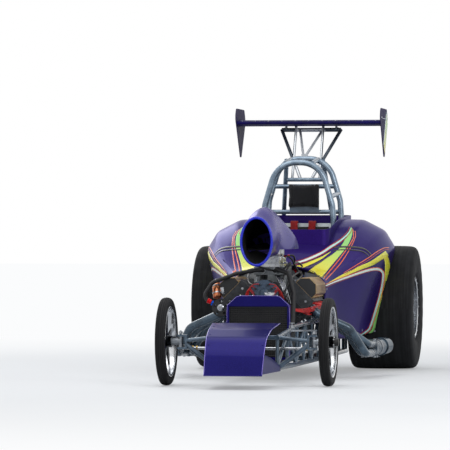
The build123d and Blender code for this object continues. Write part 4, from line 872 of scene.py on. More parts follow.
def smooth_line(points, count):
    """Evenly spaced places on a rounded line through the points."""
    dense = []
    ends = [points[0]] + list(points) + [points[-1]]
    for a, b, c, d in zip(ends, ends[1:], ends[2:], ends[3:]):
        for step in range(12):
            t = step / 12
            dense.append([
                0.5 * (
                    2 * q + (r - p) * t + (2 * p - 5 * q + 4 * r - s) * t * t
                    + (3 * q - p - 3 * r + s) * t ** 3
                )
                for p, q, r, s in zip(a, b, c, d)
            ])
    dense.append(list(points[-1]))
    lengths = [0.0]
    for a, b in zip(dense, dense[1:]):
        lengths.append(lengths[-1] + ((a[0] - b[0]) ** 2 + (a[1] - b[1]) ** 2) ** 0.5)
    line = []
    j = 0
    for i in range(count):
        target = lengths[-1] * i / (count - 1)
        while j < len(lengths) - 2 and lengths[j + 1] < target:
            j += 1
        share = (target - lengths[j]) / max(lengths[j + 1] - lengths[j], 1e-9)
        line.append(tuple(p + (q - p) * share for p, q in zip(dense[j], dense[j + 1])))
    return line


def beside(line, widths, offset):
    """Left and right edges of a stripe that follows a line at an offset."""
    left, right = [], []
    last = len(line) - 1
    for i, (u, v) in enumerate(line):
        a, b = line[max(i - 1, 0)], line[min(i + 1, last)]
        run = ((b[0] - a[0]) ** 2 + (b[1] - a[1]) ** 2) ** 0.5 or 1.0
        across = (-(b[1] - a[1]) / run, (b[0] - a[0]) / run)
        place = i / last * (len(widths) - 1)
        k = min(int(place), len(widths) - 2)
        half = (widths[k] + (widths[k + 1] - widths[k]) * (place - k)) / 2
        left.append((u + across[0] * (offset - half), v + across[1] * (offset - half)))
        right.append((u + across[0] * (offset + half), v + across[1] * (offset + half)))
    return left, right


def islands_of(bm):
    """The faces of a bmesh in sets that hang together."""
    islands, loose = [], set(bm.faces)
    for face in bm.faces:
        if face not in loose:
            continue
        island, queue = set(), [face]
        loose.discard(face)
        while queue:
            one = queue.pop()
            island.add(one)
            beyond = {other for edge in one.edges for other in edge.link_faces} & loose
            loose -= beyond
            queue.extend(beyond)
        islands.append(island)
    return islands


def stripe(name, paint, left, right, columns, lift):
    """Painted stripe between two edges, on both flanks of the body shell."""
    rows = len(left) - 1
    bm = bmesh.new()
    layer = bm.loops.layers.uv.verify()
    grid = bmesh.ops.create_grid(bm, x_segments=rows, y_segments=columns, size=0.5)["verts"]
    share = {vert: (vert.co.x + 0.5, vert.co.y + 0.5) for vert in grid}

    def spot(s, t):
        a, b = left[round(s * rows)], right[round(s * rows)]
        return laid_on_shell(a[0] + (b[0] - a[0]) * t, a[1] + (b[1] - a[1]) * t, lift)

    lost = []
    for vert, (s, t) in share.items():
        place = spot(s, t)
        if place is None:
            # past the shell's outline: drawn back to the outline from the stripe's middle
            near, far = 0.5, t
            for halving in range(7):
                half = (near + far) / 2
                if spot(s, half) is None:
                    far = half
                else:
                    near = half
            place = spot(s, near)
        if place is None:
            lost.append(vert)
        else:
            vert.co = place
    bmesh.ops.delete(bm, geom=lost, context="VERTS")
    torn = [
        f for f in bm.faces
        if max(e.verts[0].co.y for e in f.edges) - min(e.verts[1].co.y for e in f.edges) > 0.22
    ]
    bmesh.ops.delete(bm, geom=torn, context="FACES")
    # only the largest island stays, so that no patch is left on a surface behind
    largest = max(islands_of(bm), key=len)
    bmesh.ops.delete(bm, geom=[f for f in bm.faces if f not in largest], context="FACES")
    for face in bm.faces:
        for loop in face.loops:
            loop[layer].uv = share[loop.vert]
    bm.normal_update()
    if sum(face.normal.dot(EYE - face.calc_center_median()) for face in bm.faces) < 0:
        bmesh.ops.reverse_faces(bm, faces=bm.faces)
    both_sides(bm)
    for vert in bm.verts:
        if vert.co.x < 0:
            hit, normal = shell.find_nearest(vert.co)[:2]
            vert.co = hit + normal * lift
    bmesh.ops.transform(bm, matrix=TO_ROW.inverted(), verts=bm.verts)
    piece = keep(bm, name, paint, turn=60, outward=False)
    film = piece.modifiers.new("paint_film", "SOLIDIFY")
    film.thickness = 0.0004
    film.offset = -1
    return piece


white_line = [
    (293.0, 263.6), (301, 261.6), (309, 258.8), (321.6, 253), (330.2, 247.3), (341.7, 239.7), (348.4, 233),
    (351.2, 227.6),
]
inner_yellow = [(294.5, 267.8), (302, 266.2), (309, 263.6), (321.6, 257.8), (331, 251.6)]
plum_spear = [(297, 270.2), (309, 267), (320, 262.0), (327.5, 257.0)]
lime_left = [
    (304.5, 274.0), (309.5, 270.2), (319.5, 262.7), (330, 256), (337.7, 250), (343, 243), (346.5, 236),
    (349.5, 230), (351, 227),
]
lime_right = [
    (319.5, 281.0), (321.5, 278), (327.5, 270.5), (334, 262.7), (340, 255.5), (345.8, 248.3), (350, 241),
    (352, 235), (352.5, 229),
]
orange_one = [(323.5, 278.4), (336, 263.6), (347.4, 248.3), (353, 238.7), (353.4, 234), (352.9, 229.6)]
orange_two = [(325.4, 280.3), (339.8, 264.5), (350.3, 248.3), (355, 237.8), (355.4, 234.6), (355, 231)]
haunch_line = [(333, 248.8), (346, 248.2), (359.9, 249.2), (366.6, 252), (370.4, 256)]
pin_line = [(343.5, 273), (356, 265.4), (368.5, 257.8), (376, 252.4), (383.8, 248.2), (389, 247.8)]
band_line = [
    (325.9, 283.9), (338, 277.4), (351, 271.3), (362, 266.6), (371, 262.9), (379.5, 257.6), (386.6, 252.6),
]
rear_left = [
    (371, 262.9), (378, 259.6), (384.4, 256.2), (386.4, 259.6), (387.4, 267), (385.9, 282), (381.4, 298),
    (376.0, 318), (372.4, 330.6), (359.4, 341),
]
inner_white = [
    (325.4, 286.0), (336, 281.4), (347.4, 277.2), (360, 272.8), (371.3, 269.6), (378.4, 269.4),
    (382.2, 272.0), (383.2, 277), (381.0, 291.3), (376, 309.3), (370.6, 326), (366.4, 331.4), (352, 340.4),
]
# Columns: name, paint, line, widths along it, offset from the line, columns, lift in millimetres
stripes = [
    ("white", "white", white_line, (1.0, 2.2, 2.4, 2.2, 1.6, 0.4), 0.0, 4, 0.9),
    ("white_upper_edge", "red", white_line, (0.7, 0.8, 0.8, 0.7, 0.5), -1.5, 2, 1.0),
    ("white_lower_edge", "red", white_line, (0.8, 0.9, 0.9, 0.8, 0.5), 1.5, 2, 1.0),
    ("inner_yellow", "yellow", inner_yellow, (3.0, 3.4, 3.0, 2.0, 0.3), 0.0, 4, 0.8),
    ("plum_spear", "plum", plum_spear, (1.0, 2.4, 2.4, 0.3), 0.0, 3, 0.8),
    ("orange_inner", "orange", orange_one, (1.0, 1.1, 1.0, 0.8), 0.0, 2, 0.9),
    ("orange_outer", "orange", orange_two, (0.9, 1.0, 0.9, 0.7), 0.0, 2, 0.9),
    # painted reflection: a dark double line along the crease over the haunches
    ("haunch_crease_reflection_upper", "black", haunch_line, (1.3, 1.9, 1.8, 0.9), -1.2, 3, 1.1),
    ("haunch_crease_reflection_lower", "black", haunch_line, (0.9, 1.3, 1.3, 0.7), 1.7, 3, 1.1),
    ("pin_upper", "orange", pin_line, (0.5, 0.9, 0.9, 0.7), 0.0, 2, 0.9),
    ("pin_lower", "red", pin_line, (0.4, 0.6, 0.7, 0.5), 1.9, 2, 0.9),
    ("flank_yellow", "yellow", band_line, (0.6, 2.4, 3.6, 4.6, 5.4), 0.6, 5, 0.8),
    ("rear_lime", "lime", rear_left, (3.0, 4.4, 5.0, 3.8, 3.4, 3.0, 2.8, 2.2, 0.5), 0.0, 5, 0.85),
    ("inner_white", "white", inner_white, (0.8, 1.7, 2.0, 2.2, 2.2, 2.0, 1.6, 0.5), 0.0, 4, 0.8),
    ("inner_white_edge", "red", inner_white, (0.5, 0.6, 0.7, 0.7, 0.6, 0.4), 1.4, 2, 0.9),
    ("flank_orange_edge", "orange", inner_white, (0.5, 0.7, 0.8, 0.8, 0.7, 0.4), -1.4, 2, 0.9),
]
for name, paint, line, widths, offset, columns, lift in stripes:
    length = sum(((a[0] - b[0]) ** 2 + (a[1] - b[1]) ** 2) ** 0.5 for a, b in zip(line, line[1:]))
    path = smooth_line(line, max(int(length / 0.6), 8))
    left, right = beside(path, widths, offset)
    stripe("stripe_" + name, stripe_paints[paint], left, right, columns, (lift + 0.4) / 1000)
stripe(
    "stripe_wide_lime", stripe_paints["lime"], smooth_line(lime_left, 110), smooth_line(lime_right, 110), 12,
    0.0011,
)

# Scoop, nose and radiator

RIM_HALF, RIM_RISE = 103, 156
bm = bmesh.new()
section = bmesh.ops.create_circle(bm, cap_ends=False, segments=16, radius=8.6)["verts"]
bmesh.ops.translate(bm, vec=(100, 0, 0), verts=section)
bmesh.ops.spin(
    bm, geom=section + list({e for v in section for e in v.link_edges}), cent=(0, 0, 0), axis=(0, 1, 0),
    angle=2 * pi, steps=96, use_merge=True, use_duplicate=False,
)
for vert in bm.verts:
    # the round ring becomes the mouth's tall oval, with its bead kept round
    turn = atan2(vert.co.z, vert.co.x)
    radius = (vert.co.x ** 2 + vert.co.z ** 2) ** 0.5
    vert.co.x = cos(turn) * (RIM_HALF - 3.2 + radius - 100)
    vert.co.z = 912 + sin(turn) * (RIM_RISE - 3.2 + radius - 100)
    vert.co.y += 407
keep(bm, "scoop_mouth_rim", blue_enamel, turn=60)

nose_skin = skin_of("nose_cover")


def onto(skin, start, way):
    """Place of a surface that a line from start meets, in car millimetres, and its normal towards start."""
    hit, normal = skin.ray_cast(row(*start), Vector(way))[:2]
    if hit is None:
        hit, normal = skin.find_nearest(row(*start) + Vector(way) * 0.3)[:2]
    if normal.dot(Vector(way)) > 0:
        normal = -normal
    return TO_ROW.inverted() @ hit, normal


def nose_half(y):
    """Half the nose cover's width at y."""
    return 183 + (y + 624) / 602 * 33


edge_route = [(183, -622, 92)]
for y in (
    -617, -610, -600, -588, -574, -558, -540, -520, -500, -478, -455, -430, -400, -360, -310, -250, -180,
    -100, -30,
):
    edge_route.append(tuple(onto(nose_skin, (nose_half(y) - 2.2, y, 800), (0, 0, -1))[0]))
tubes("nose_edge_beads", mirrored([edge_route]), 1.7, lilac_enamel)
tubes(
    "nose_front_bead", [[(-183, -622.6, 88), (0, -622.6, 88), (183, -622.6, 88)]], 1.5, lilac_enamel,
)

bm = bmesh.new()
for y in (-505, -400, -290, -180, -70):
    place, normal = onto(nose_skin, (nose_half(y) - 20, y, 800), (0, 0, -1))
    lathe(bm, [(0, 0), (0, 7), (0.8, 7), (1.8, 5.2), (2.0, 0)], place, normal, segments=24, closed=False)
both_sides(bm)
keep(bm, "nose_fasteners", indigo_paint)

bm = bmesh.new()
for i in range(31):
    block(bm, (-180 + 12 * i, 497.5, 328), (2.6, 5, 322), soften=0.5, steps=1)
for z in (172, 486):
    block(bm, (0, 497.5, z), (374, 8, 10), soften=2)
keep(bm, "radiator_tubes", core_black)
surround_edge = [
    (-204, 487, 152), (-204, 487, 497), (-134, 487, 561), (134, 487, 561), (204, 487, 497), (204, 487, 152),
]
tubes("radiator_edge_bead", [surround_edge], 1.4, lilac_enamel, order=2)
bm = bmesh.new()
lathe(
    bm, [(0, 0), (0, 24), (5, 24), (6, 30), (15, 30), (18, 26), (19, 10), (22, 8), (22, 0)], (70, 520, 561),
    (0, 0, 1), segments=40, closed=False,
)
block(bm, (70, 520, 578), (70, 12, 5), soften=1.5)
for side in (-1, 1):
    block(bm, (side * 206.5, 520, 250), (5, 30, 60), soften=1.5)
    bolt(bm, (side * 209, 520, 236), (side, 0, 0), 9)
    bolt(bm, (side * 209, 520, 264), (side, 0, 0), 9)
    for x in (40, 120):
        bolt(bm, (side * x, 517, 561), (0, 0, 1), 8)
keep(bm, "radiator_cap", carb_alloy)

# Engine

# Valve covers: ribs, black end plates and flange bolts
COVER_Y, COVER_TOP = 1178, 423
RIB = (4.6, 470, 5)
# the cover's flat top ends 29.2 mm out, and its side falls 42 mm over the next 43.8 mm
TOP_HALF, SIDE_OUT, SIDE_FALL = 29.2, 43.8, 42
bm = bmesh.new()
for u in (-22, -11, 0, 11, 22):
    block(bm, bank(u, COVER_TOP + 1, COVER_Y), RIB, BANK_TURN, soften=1.4)
for k in range(5):
    share = (k + 0.6) / 5.4
    u, v = TOP_HALF + SIDE_OUT * share, COVER_TOP - SIDE_FALL * share
    for way in (1, -1):
        turn = Matrix.Rotation(BANK + way * atan2(SIDE_FALL, SIDE_OUT), 3, "Y")
        block(bm, bank(way * u, v, COVER_Y), RIB, turn, soften=1.4)
for i in range(14):
    y = 948 + 35 * i
    block(bm, bank(73.5, 350, y), (5, 17, 16), BANK_TURN, soften=1.2)
    block(bm, bank(-73.5, 350, y), (5, 17, 16), BANK_TURN, soften=1.2)
both_sides(bm)
keep(bm, "valve_cover_ribs", bronze_cover)

cover_end = [(-71, 341), (71, 341), (71, 379), (28, 421.5), (-28, 421.5), (-71, 379)]
bm = bmesh.new()
for y, thick in ((926.6, -2.4), (1428.6, 2.4)):
    pulled(bm, [bank(u, v, y) for u, v in cover_end], (0, thick, 0))
both_sides(bm)
keep(bm, "valve_cover_ends", black_coat)

bm = bmesh.new()
for i in range(4):
    for u in (-79, 79):
        bolt(bm, bank(u, 339, 960 + 145 * i), BANK_V, 9)
for i in range(5):
    bolt(bm, bank(-90, 339, 940 + 118 * i), BANK_V, 12)
for u in (-60, 60):
    bolt(bm, bank(u, 296, 925), (0, -1, 0), 11)
both_sides(bm)
keep(bm, "head_and_cover_bolts", bright_steel)

# Plugs with red boots between the ports
plug_places = [(98, 321, FIRST_PORT + PORT_STEP * i - 37) for i in range(4)]
plug_way = (BANK_U * 0.86 + BANK_V * 0.5).normalized()
bm = bmesh.new()
for u, v, y in plug_places:
    foot = Vector(bank(u, v, y))
    drum(bm, foot, plug_way, 9, 8, segments=6)
    lathe(
        bm, [(6, 0), (6, 7), (20, 8.2), (44, 8.2), (50, 10), (58, 9), (60, 4), (60, 0)], foot, plug_way,
        segments=20, closed=False,
    )
both_sides(bm)
keep(bm, "plug_boots", red_silicone)


def cap_tower(i, side, y):
    """Place of a lead tower of the magneto's cap: four on each side, on a circle."""
    angle = radians(28 + 34 * i)
    return (60 * sin(angle) * side, y, MAGNETO_Z + 60 * cos(angle))


# Leads from the cap, down over the engine's front and back along the heads to the plugs
lead_routes = []
for side in (1, -1):
    for i, (u, v, y) in enumerate(plug_places):
        tip = Vector(bank(u, v, y, side)) + Vector((plug_way.x * side, 0, plug_way.z)) * 58
        sx, sy, sz = cap_tower(i, side, 764)
        lead_routes.append([
            (sx, sy, sz), (sx * 1.15, 742, sz + 8), (side * (84 + 6 * i), 748, 628 - 6 * i),
            (side * (106 + 7 * i), 760, 566 - 6 * i), (side * (118 + 7 * i), 800, 500 - 5 * i),
            (side * (190 + 8 * i), 872, 462 - 6 * i), (side * (292 + 4 * i), 902, 474 - 7 * i),
            (side * (334 + 3 * i), y - 60, 494 - 4 * i), (tip.x + side * 14, y - 8, tip.z - 10), tuple(tip),
        ])
tubes("plug_leads", lead_routes, 3.2, red_silicone)

# Magneto cap: face ring, towers, clips and its clamp band
bm = bmesh.new()
lathe(
    bm, [(0, 30), (0, 76), (2, 80), (-2, 82), (6, 84.5), (12, 84.5), (12, 30)], (0, MAGNETO_Y + 2, MAGNETO_Z),
    (0, -1, 0), segments=72,
)
lathe(
    bm, [(0, 0), (0, 30), (10, 27), (14, 20), (14, 0)], (0, MAGNETO_Y - 6, MAGNETO_Z), (0, -1, 0),
    segments=48, closed=False,
)
for i in range(4):
    for side in (-1, 1):
        lathe(bm, [(0, 0), (0, 11), (6, 10), (16, 9), (18, 6), (18, 0)], cap_tower(i, side, MAGNETO_Y - 8),
              (0, -1, 0), segments=24, closed=False)
keep(bm, "magneto_cap", cap_plastic)
bm = bmesh.new()
for turn in (0.0, 2 * pi / 3, 4 * pi / 3):
    angle = turn + 0.5
    block(
        bm, (84 * sin(angle), MAGNETO_Y + 18, MAGNETO_Z + 84 * cos(angle)), (26, 58, 9),
        Matrix.Rotation(angle, 3, "Y"), soften=2,
    )
lathe(bm, [(0, 84), (0, 87.5), (16, 87.5), (16, 84)], (0, MAGNETO_Y + 34, MAGNETO_Z), (0, 1, 0), segments=72)
for i in range(4):
    for side in (-1, 1):
        drum(bm, cap_tower(i, side, MAGNETO_Y - 24), (0, -1, 0), 6.4, 12, segments=16, soften=1)
keep(bm, "magneto_clips", black_plastic)

# Carburettors: bowl end plates with screws, needle fittings, vents, levers and the rod between them
CARB_PLACES = (1092.5, 1262.5)
bm = bmesh.new()
for y in CARB_PLACES:
    for side in (-1, 1):
        block(bm, (side * 66, y, 793), (6, 58, 36), soften=2)
        for dy, dz in ((-23, -12), (23, -12), (-23, 12), (23, 12)):
            bolt(bm, (side * 69, y + dy, 793 + dz), (side, 0, 0), 6)
        drum(bm, (side * 36, y - 22, 812), (0, 0, 1), 5, 26, segments=14, top=4, soften=0.8)
        lathe(
            bm, [(0, 0), (0, 10), (9, 10), (11, 6), (22, 6), (22, 0)], (side * 64, y + 26, 806),
            (side, 0, 0.25), segments=6, closed=False,
        )
    drum(bm, (58, y, 764), (1, 0, 0), 4.5, 26, segments=14)
    block(bm, (82, y + 9, 756), (4, 14, 34), soften=1.5)
    drum(bm, (78, y + 14, 744), (1, 0, 0), 6, 10, segments=6)
drum(bm, (83, 1092, 744), (0, 1, 0), 3.2, 196, segments=12)
for x, y in [(side * 96, 1020 + 63 * i) for side in (-1, 1) for i in range(6)]:
    bolt(bm, (x, y, 742), (0, 0, 1), 9)
keep(bm, "carburettor_fittings", carb_alloy)

# Fuel pressure regulator on the firewall, with its red and blue hose ends
bm = bmesh.new()
lathe(
    bm, [(0, 0), (0, 26), (16, 26), (20, 31), (28, 31), (34, 24), (60, 22), (64, 12), (64, 0)],
    (134, 1540, 694), (0, -1, 0), segments=40, closed=False,
)
block(bm, (134, 1536, 694), (70, 8, 20), soften=2)
block(bm, (60, 998, 716), (44, 20, 22), soften=3)
keep(bm, "fuel_regulator", black_coat)

FITTING = [(0, 0), (0, 13), (9, 13), (10, 10.5), (22, 10.5), (24, 8.5), (34, 8.5), (34, 0)]
INLET = [(0, 0), (0, 8), (6, 8), (7, 6.6), (15, 6.6), (15, 0)]
bm = bmesh.new()
lathe(bm, FITTING, (116, 1494, 708), (-0.5, -0.7, 0.5), segments=12, closed=False)
lathe(
    bm, [(0, 0), (0, 17.5), (10, 17.5), (11, 15.5), (26, 15.5), (26, 0)], (-392, 886, 523),
    (0.887, 0, -0.461), segments=12, closed=False,
)
for y in CARB_PLACES:
    lathe(bm, INLET, (84, y + 26, 811), (1, 0, 0.25), segments=12, closed=False)
keep(bm, "red_hose_ends", red_anodised)
bm = bmesh.new()
lathe(bm, FITTING, (152, 1494, 680), (0.4, -0.7, -0.5), segments=12, closed=False)
lathe(
    bm, [(0, 0), (0, 18), (9, 18), (10, 16), (22, 16), (22, 0)], (-364, 886, 508), (0.887, 0, -0.461),
    segments=12, closed=False,
)
for y in CARB_PLACES:
    lathe(bm, INLET, (-84, y + 26, 811), (-1, 0, 0.25), segments=12, closed=False)
keep(bm, "blue_hose_ends", blue_anodised)

fuel_routes = [
    [
        (116, 1494, 708), (98, 1470, 728), (116, 1400, 764), (126, 1330, 800), (118, 1300, 818),
        (96, 1288.5, 815),
    ],
    [
        (152, 1494, 680), (166, 1460, 664), (160, 1340, 690), (146, 1200, 744), (128, 1140, 806),
        (96, 1118.5, 815),
    ],
    [
        (42, 998, 716), (10, 970, 720), (-90, 985, 750), (-128, 1060, 800), (-118, 1110, 818),
        (-96, 1118.5, 815),
    ],
    [
        (78, 998, 716), (112, 975, 740), (138, 1010, 770), (140, 1040, 770), (128, 1000, 740),
        (100, 960, 690), (96, 905, 620),
    ],
    [(-96, 1118.5, 815), (-136, 1190, 812), (-118, 1270, 818), (-96, 1288.5, 815)],
]
tubes("fuel_lines", fuel_routes, 6.5, hose_braid)
cable_routes = [
    [
        (120, 1530, 700), (146, 1420, 712), (160, 1250, 700), (158, 1080, 690), (146, 960, 660),
        (132, 880, 610), (118, 840, 560), (104, 868, 500),
    ],
    [
        (150, 1530, 680), (170, 1400, 690), (182, 1200, 668), (176, 1020, 640), (164, 930, 596),
        (150, 880, 540), (128, 868, 440),
    ],
    [
        (-140, 1530, 700), (-150, 1380, 706), (-150, 1150, 700), (-138, 990, 690), (-122, 900, 640),
        (-96, 840, 628), (-70, 812, 622),
    ],
    [(150, 1530, 740), (140, 1440, 770), (124, 1360, 760), (110, 1310, 746), (84, 1270, 744)],
    [(70, 764, 548), (104, 756, 506), (128, 800, 470), (150, 868, 430), (150, 903, 400)],
    [(-70, 764, 548), (-104, 756, 506), (-128, 800, 470), (-150, 868, 430), (-150, 903, 400)],
]
tubes("black_cables", cable_routes, 6.0, black_plastic)
tubes("wiring_loom", [
    [(232, 930, 452), (258, 905, 446), (276, 930, 440), (272, 1010, 446), (256, 1090, 452)],
    [(236, 926, 440), (262, 900, 434), (282, 934, 430), (280, 1010, 434), (262, 1085, 440)],
    [(-60, 812, 500), (-40, 780, 484), (-60, 790, 452), (-90, 868, 430)],
], 4.2, red_silicone)
# Four bright lines side by side, each a little lower and further out than the last
tubes("steel_lines", [
    [
        (38 + 9 * i, 985, 690 - 3 * i), (58 + 10 * i, 930, 684 - 4 * i), (84 + 12 * i, 884, 650 - 8 * i),
        (108 + 12 * i, 868, 600 - 10 * i), (122 + 12 * i, 880, 540 - 12 * i),
    ]
    for i in range(4)
], 4.4, bright_steel)


def belt(bm, first, second, y, width, thick):
    """Flat belt round two pulleys given as (x, z, radius), centred at y."""
    (ax, az, ar), (bx, bz, br) = first, second
    run = Vector((bx - ax, bz - az))
    along = run.normalized()
    lean = (ar - br) / run.length
    rings = []
    for x, z, radius, side in ((ax, az, ar, -1), (bx, bz, br, 1)):
        ring = bmesh.ops.create_circle(bm, cap_ends=False, segments=72, radius=radius)["verts"]
        bmesh.ops.rotate(bm, cent=(0, 0, 0), matrix=Matrix.Rotation(pi / 2, 3, "X"), verts=ring)
        # the arc on the pulley's far side stays
        inner = [
            v for v in ring
            if side * (v.co.x * along.x + v.co.z * along.y) < side * radius * lean - 1e-6
        ]
        bmesh.ops.delete(bm, geom=inner, context="VERTS")
        kept = [v for v in ring if v.is_valid]
        bmesh.ops.translate(bm, vec=(x, y - width / 2, z), verts=kept)
        rings.append(kept)
    ends = [[v for v in ring if len(v.link_edges) == 1] for ring in rings]
    for vert in ends[0]:
        far = min(ends[1], key=lambda other: (other.co - vert.co - Vector((run.x, 0, run.y))).length)
        bm.edges.new((vert, far))
    loop = list({e for ring in rings for v in ring for e in v.link_edges})
    raised = bmesh.ops.extrude_edge_only(bm, edges=loop)["geom"]
    bmesh.ops.translate(bm, vec=(0, width, 0), verts=only(bmesh.types.BMVert, raised))
    faces = only(bmesh.types.BMFace, raised)
    bmesh.ops.recalc_face_normals(bm, faces=faces)
    bmesh.ops.solidify(bm, geom=faces, thickness=-thick)


bm = bmesh.new()
belt(bm, (0, CRANK_Z, 83.5), (PUMP_X, PUMP_Z, 57), 831, 11, 3)
keep(bm, "pump_belt", hose_braid)
bm = bmesh.new()
belt(bm, (0, CRANK_Z, 83.5), (0, 447, 34), 818, 8, 4)
keep(bm, "water_pump_belt", hose_braid)

# Pulley hubs, pump face and timing cover screws
bm = bmesh.new()
lathe(
    bm, [(0, 0), (0, 34), (6, 34), (8, 26), (14, 24), (14, 0)], (0, PULLEY_Y, CRANK_Z), (0, -1, 0),
    segments=48, closed=False,
)
for i in range(6):
    bolt(bm, (58 * sin(i * pi / 3), PULLEY_Y, CRANK_Z + 58 * cos(i * pi / 3)), (0, -1, 0), 11)
bolt(bm, (0, PULLEY_Y - 14, CRANK_Z), (0, -1, 0), 22)
for i in range(4):
    bolt(bm, (15 * sin(i * pi / 2 + 0.4), PULLEY_Y, 447 + 15 * cos(i * pi / 2 + 0.4)), (0, -1, 0), 8)
lathe(
    bm, [(0, 0), (0, 22), (5, 22), (8, 16), (16, 14), (16, 0)], (PUMP_X, 817, PUMP_Z), (0, -1, 0),
    segments=40, closed=False,
)
bolt(bm, (PUMP_X, 801, PUMP_Z), (0, -1, 0), 15)
for i in range(6):
    bolt(bm, (PUMP_X + 41 * sin(i * pi / 3), 853, PUMP_Z + 41 * cos(i * pi / 3)), (0, -1, 0), 8)
for side in (-1, 1):
    for z in (280, 330, 390, 450, 510, 570, 625):
        bolt(bm, (side * 95, 871, z), (0, -1, 0), 9)
for x in (-50, 50):
    bolt(bm, (x, 871, 636), (0, -1, 0), 9)
keep(bm, "front_drive_bolts", bright_steel)

# Copper toned canister beside the right head, with its bands, cap and bracket
lean = Vector((-15, 50, 100)).normalized()
foot = Vector((-330, 900, 540))
bm = bmesh.new()
lathe(
    bm, [(0, 0), (0, 22), (4, 27), (12, 28), (96, 28), (104, 26), (108, 14), (108, 0)], foot, lean,
    segments=48, closed=False,
)
keep(bm, "catch_canister", copper_can)
bm = bmesh.new()
for high in (26, 78):
    lathe(bm, [(0, 27.6), (0, 30), (9, 30), (9, 27.6)], foot + lean * high, lean, segments=48)
lathe(
    bm, [(0, 0), (0, 12), (14, 12), (16, 7), (30, 7), (30, 0)], foot + lean * 106, lean, segments=20,
    closed=False,
)
block(bm, (-302, 934, 585), (26, 30, 46), Matrix.Rotation(-0.14, 3, "Y"), soften=2)
keep(bm, "canister_bracket", bright_steel)

# Worm clamps of the coolant hoses
bm = bmesh.new()
for place, way, radius in (
    ((40, 988, 716), (0, 1, 0), 15), ((-40, 988, 716), (0, 1, 0), 13), ((150, 556, 225), (0, 1, 0), 15),
):
    lathe(bm, [(0, radius), (0, radius + 2.2), (11, radius + 2.2), (11, radius)], place, way, segments=40)
    block(bm, Vector(place) + Vector((0, 5.5, radius + 4)), (16, 11, 8), soften=1.5)
keep(bm, "hose_clamps", bright_steel)

# Exhaust: flange bolts, slip joint bands with their lugs, outlet clamp with its block and bolt
bm = bmesh.new()
for i in range(4):
    for step in (-27, 27):
        bolt(bm, bank(112, 289, FIRST_PORT + PORT_STEP * i + step), BANK_U, 11)
for x, z in ((632, 166), (632, 223), (575, 166), (575, 223)):
    lathe(bm, [(0, 27), (0, 29.6), (13, 29.6), (13, 27)], (x, 1468, z), (0.02, 1, 0), segments=44)
    block(bm, (x + (12 if x > 600 else -12), 1474, z + (30 if z > 200 else -30)), (18, 13, 9), soften=1.5)
tail = Vector((62, 254, 6)).normalized()
start = Vector((619.5, 1586, 194.5))
lathe(bm, [(0, 54), (0, 56.6), (16, 56.6), (16, 54)], start + tail * 46, tail, segments=64)
block(bm, start + tail * 54 + Vector((8, 0, -62)), (20, 15, 14), soften=2)
drum(bm, start + tail * 54 + Vector((-16, 0, -63)), (1, 0, 0), 3, 48, segments=12)
both_sides(bm)
keep(bm, "exhaust_clamps", machined_steel)

# Gearbox and block: bell bolts, side screws, core plugs, sump rail screws, shifter
block_skin, box_skin = skin_of("engine_block"), skin_of("gearbox")
bm = bmesh.new()
for side in (-1, 1):
    for i in range(3):
        place, normal = onto(block_skin, (side * 420, 1000 + 140 * i, 250), (-side, 0, 0))
        lathe(
            bm, [(0, 0), (0, 25), (2, 25), (2.6, 21), (1.0, 18), (1.0, 0)], place, normal, segments=36,
            closed=False,
        )
    for i in range(9):
        place, normal = onto(block_skin, (side * 420, 930 + 60 * i, 200), (-side, 0, 0))
        bolt(bm, place, normal, 8)
    for y, z in (
        (1640, 240), (1640, 390), (1760, 225), (1760, 400), (1890, 240), (1890, 390), (2030, 240),
        (2030, 390),
    ):
        place, normal = onto(box_skin, (side * 420, y, z), (-side, 0, 0))
        bolt(bm, place, normal, 10)
for i in range(8):
    angle = pi / 8 + i * pi / 4
    x, z = 150 * sin(angle), CRANK_Z - 8 + 150 * cos(angle)
    place, normal = onto(box_skin, (x, 2400, min(max(z, 160), 510)), (0, -1, 0))
    bolt(bm, place, normal, 11)
keep(bm, "block_and_gearbox_bolts", bright_steel)
bm = bmesh.new()
block(bm, (84, 2020, 437), (40, 96, 18), soften=4)
block(bm, (84, 2020, 452), (26, 60, 16), soften=4)
keep(bm, "shifter_base", cast_alloy)
tubes(
    "shifter_lever", [[(84, 2020, 456), (88, 2040, 520), (116, 2090, 590), (122, 2120, 650)]], 7,
    bright_steel,
)
bm = bmesh.new()
lathe(
    bm, [(0, 0), (0, 10), (8, 14), (30, 17), (44, 15), (50, 8), (51, 0)], (121, 2114, 640), (0.05, 0.3, 0.95),
    segments=32, closed=False,
)
keep(bm, "shifter_knob", black_plastic)

# Frame, axle and rear

frame_skin = {side: skin_of("side_frame_left" if side > 0 else "side_frame_right") for side in (-1, 1)}
bm = bmesh.new()
for side in (-1, 1):
    for y, z in ((700, 372), (860, 378), (1180, 387), (1480, 397), (1760, 406), (2060, 418), (2300, 436)):
        place, normal = onto(frame_skin[side], (side * 600, y, z), (-side, 0, 0))
        block(bm, place + Vector((side, 0, 10)), (5, 30, 34), soften=2)
        bolt(bm, place + Vector((side * 3.5, 0, 14)), (side, 0, 0), 10)
keep(bm, "frame_tabs", bright_steel)
brake_route = [
    (172, 20, 300), (214, 610, 359), (226, 1400, 388), (226, 2000, 406), (224, 2400, 436), (214, 2660, 498),
    (206, 2800, 520), (190, 2880, 520), (170, 2905, 470),
]
tubes("brake_lines", mirrored([brake_route]), 3.0, bright_steel)

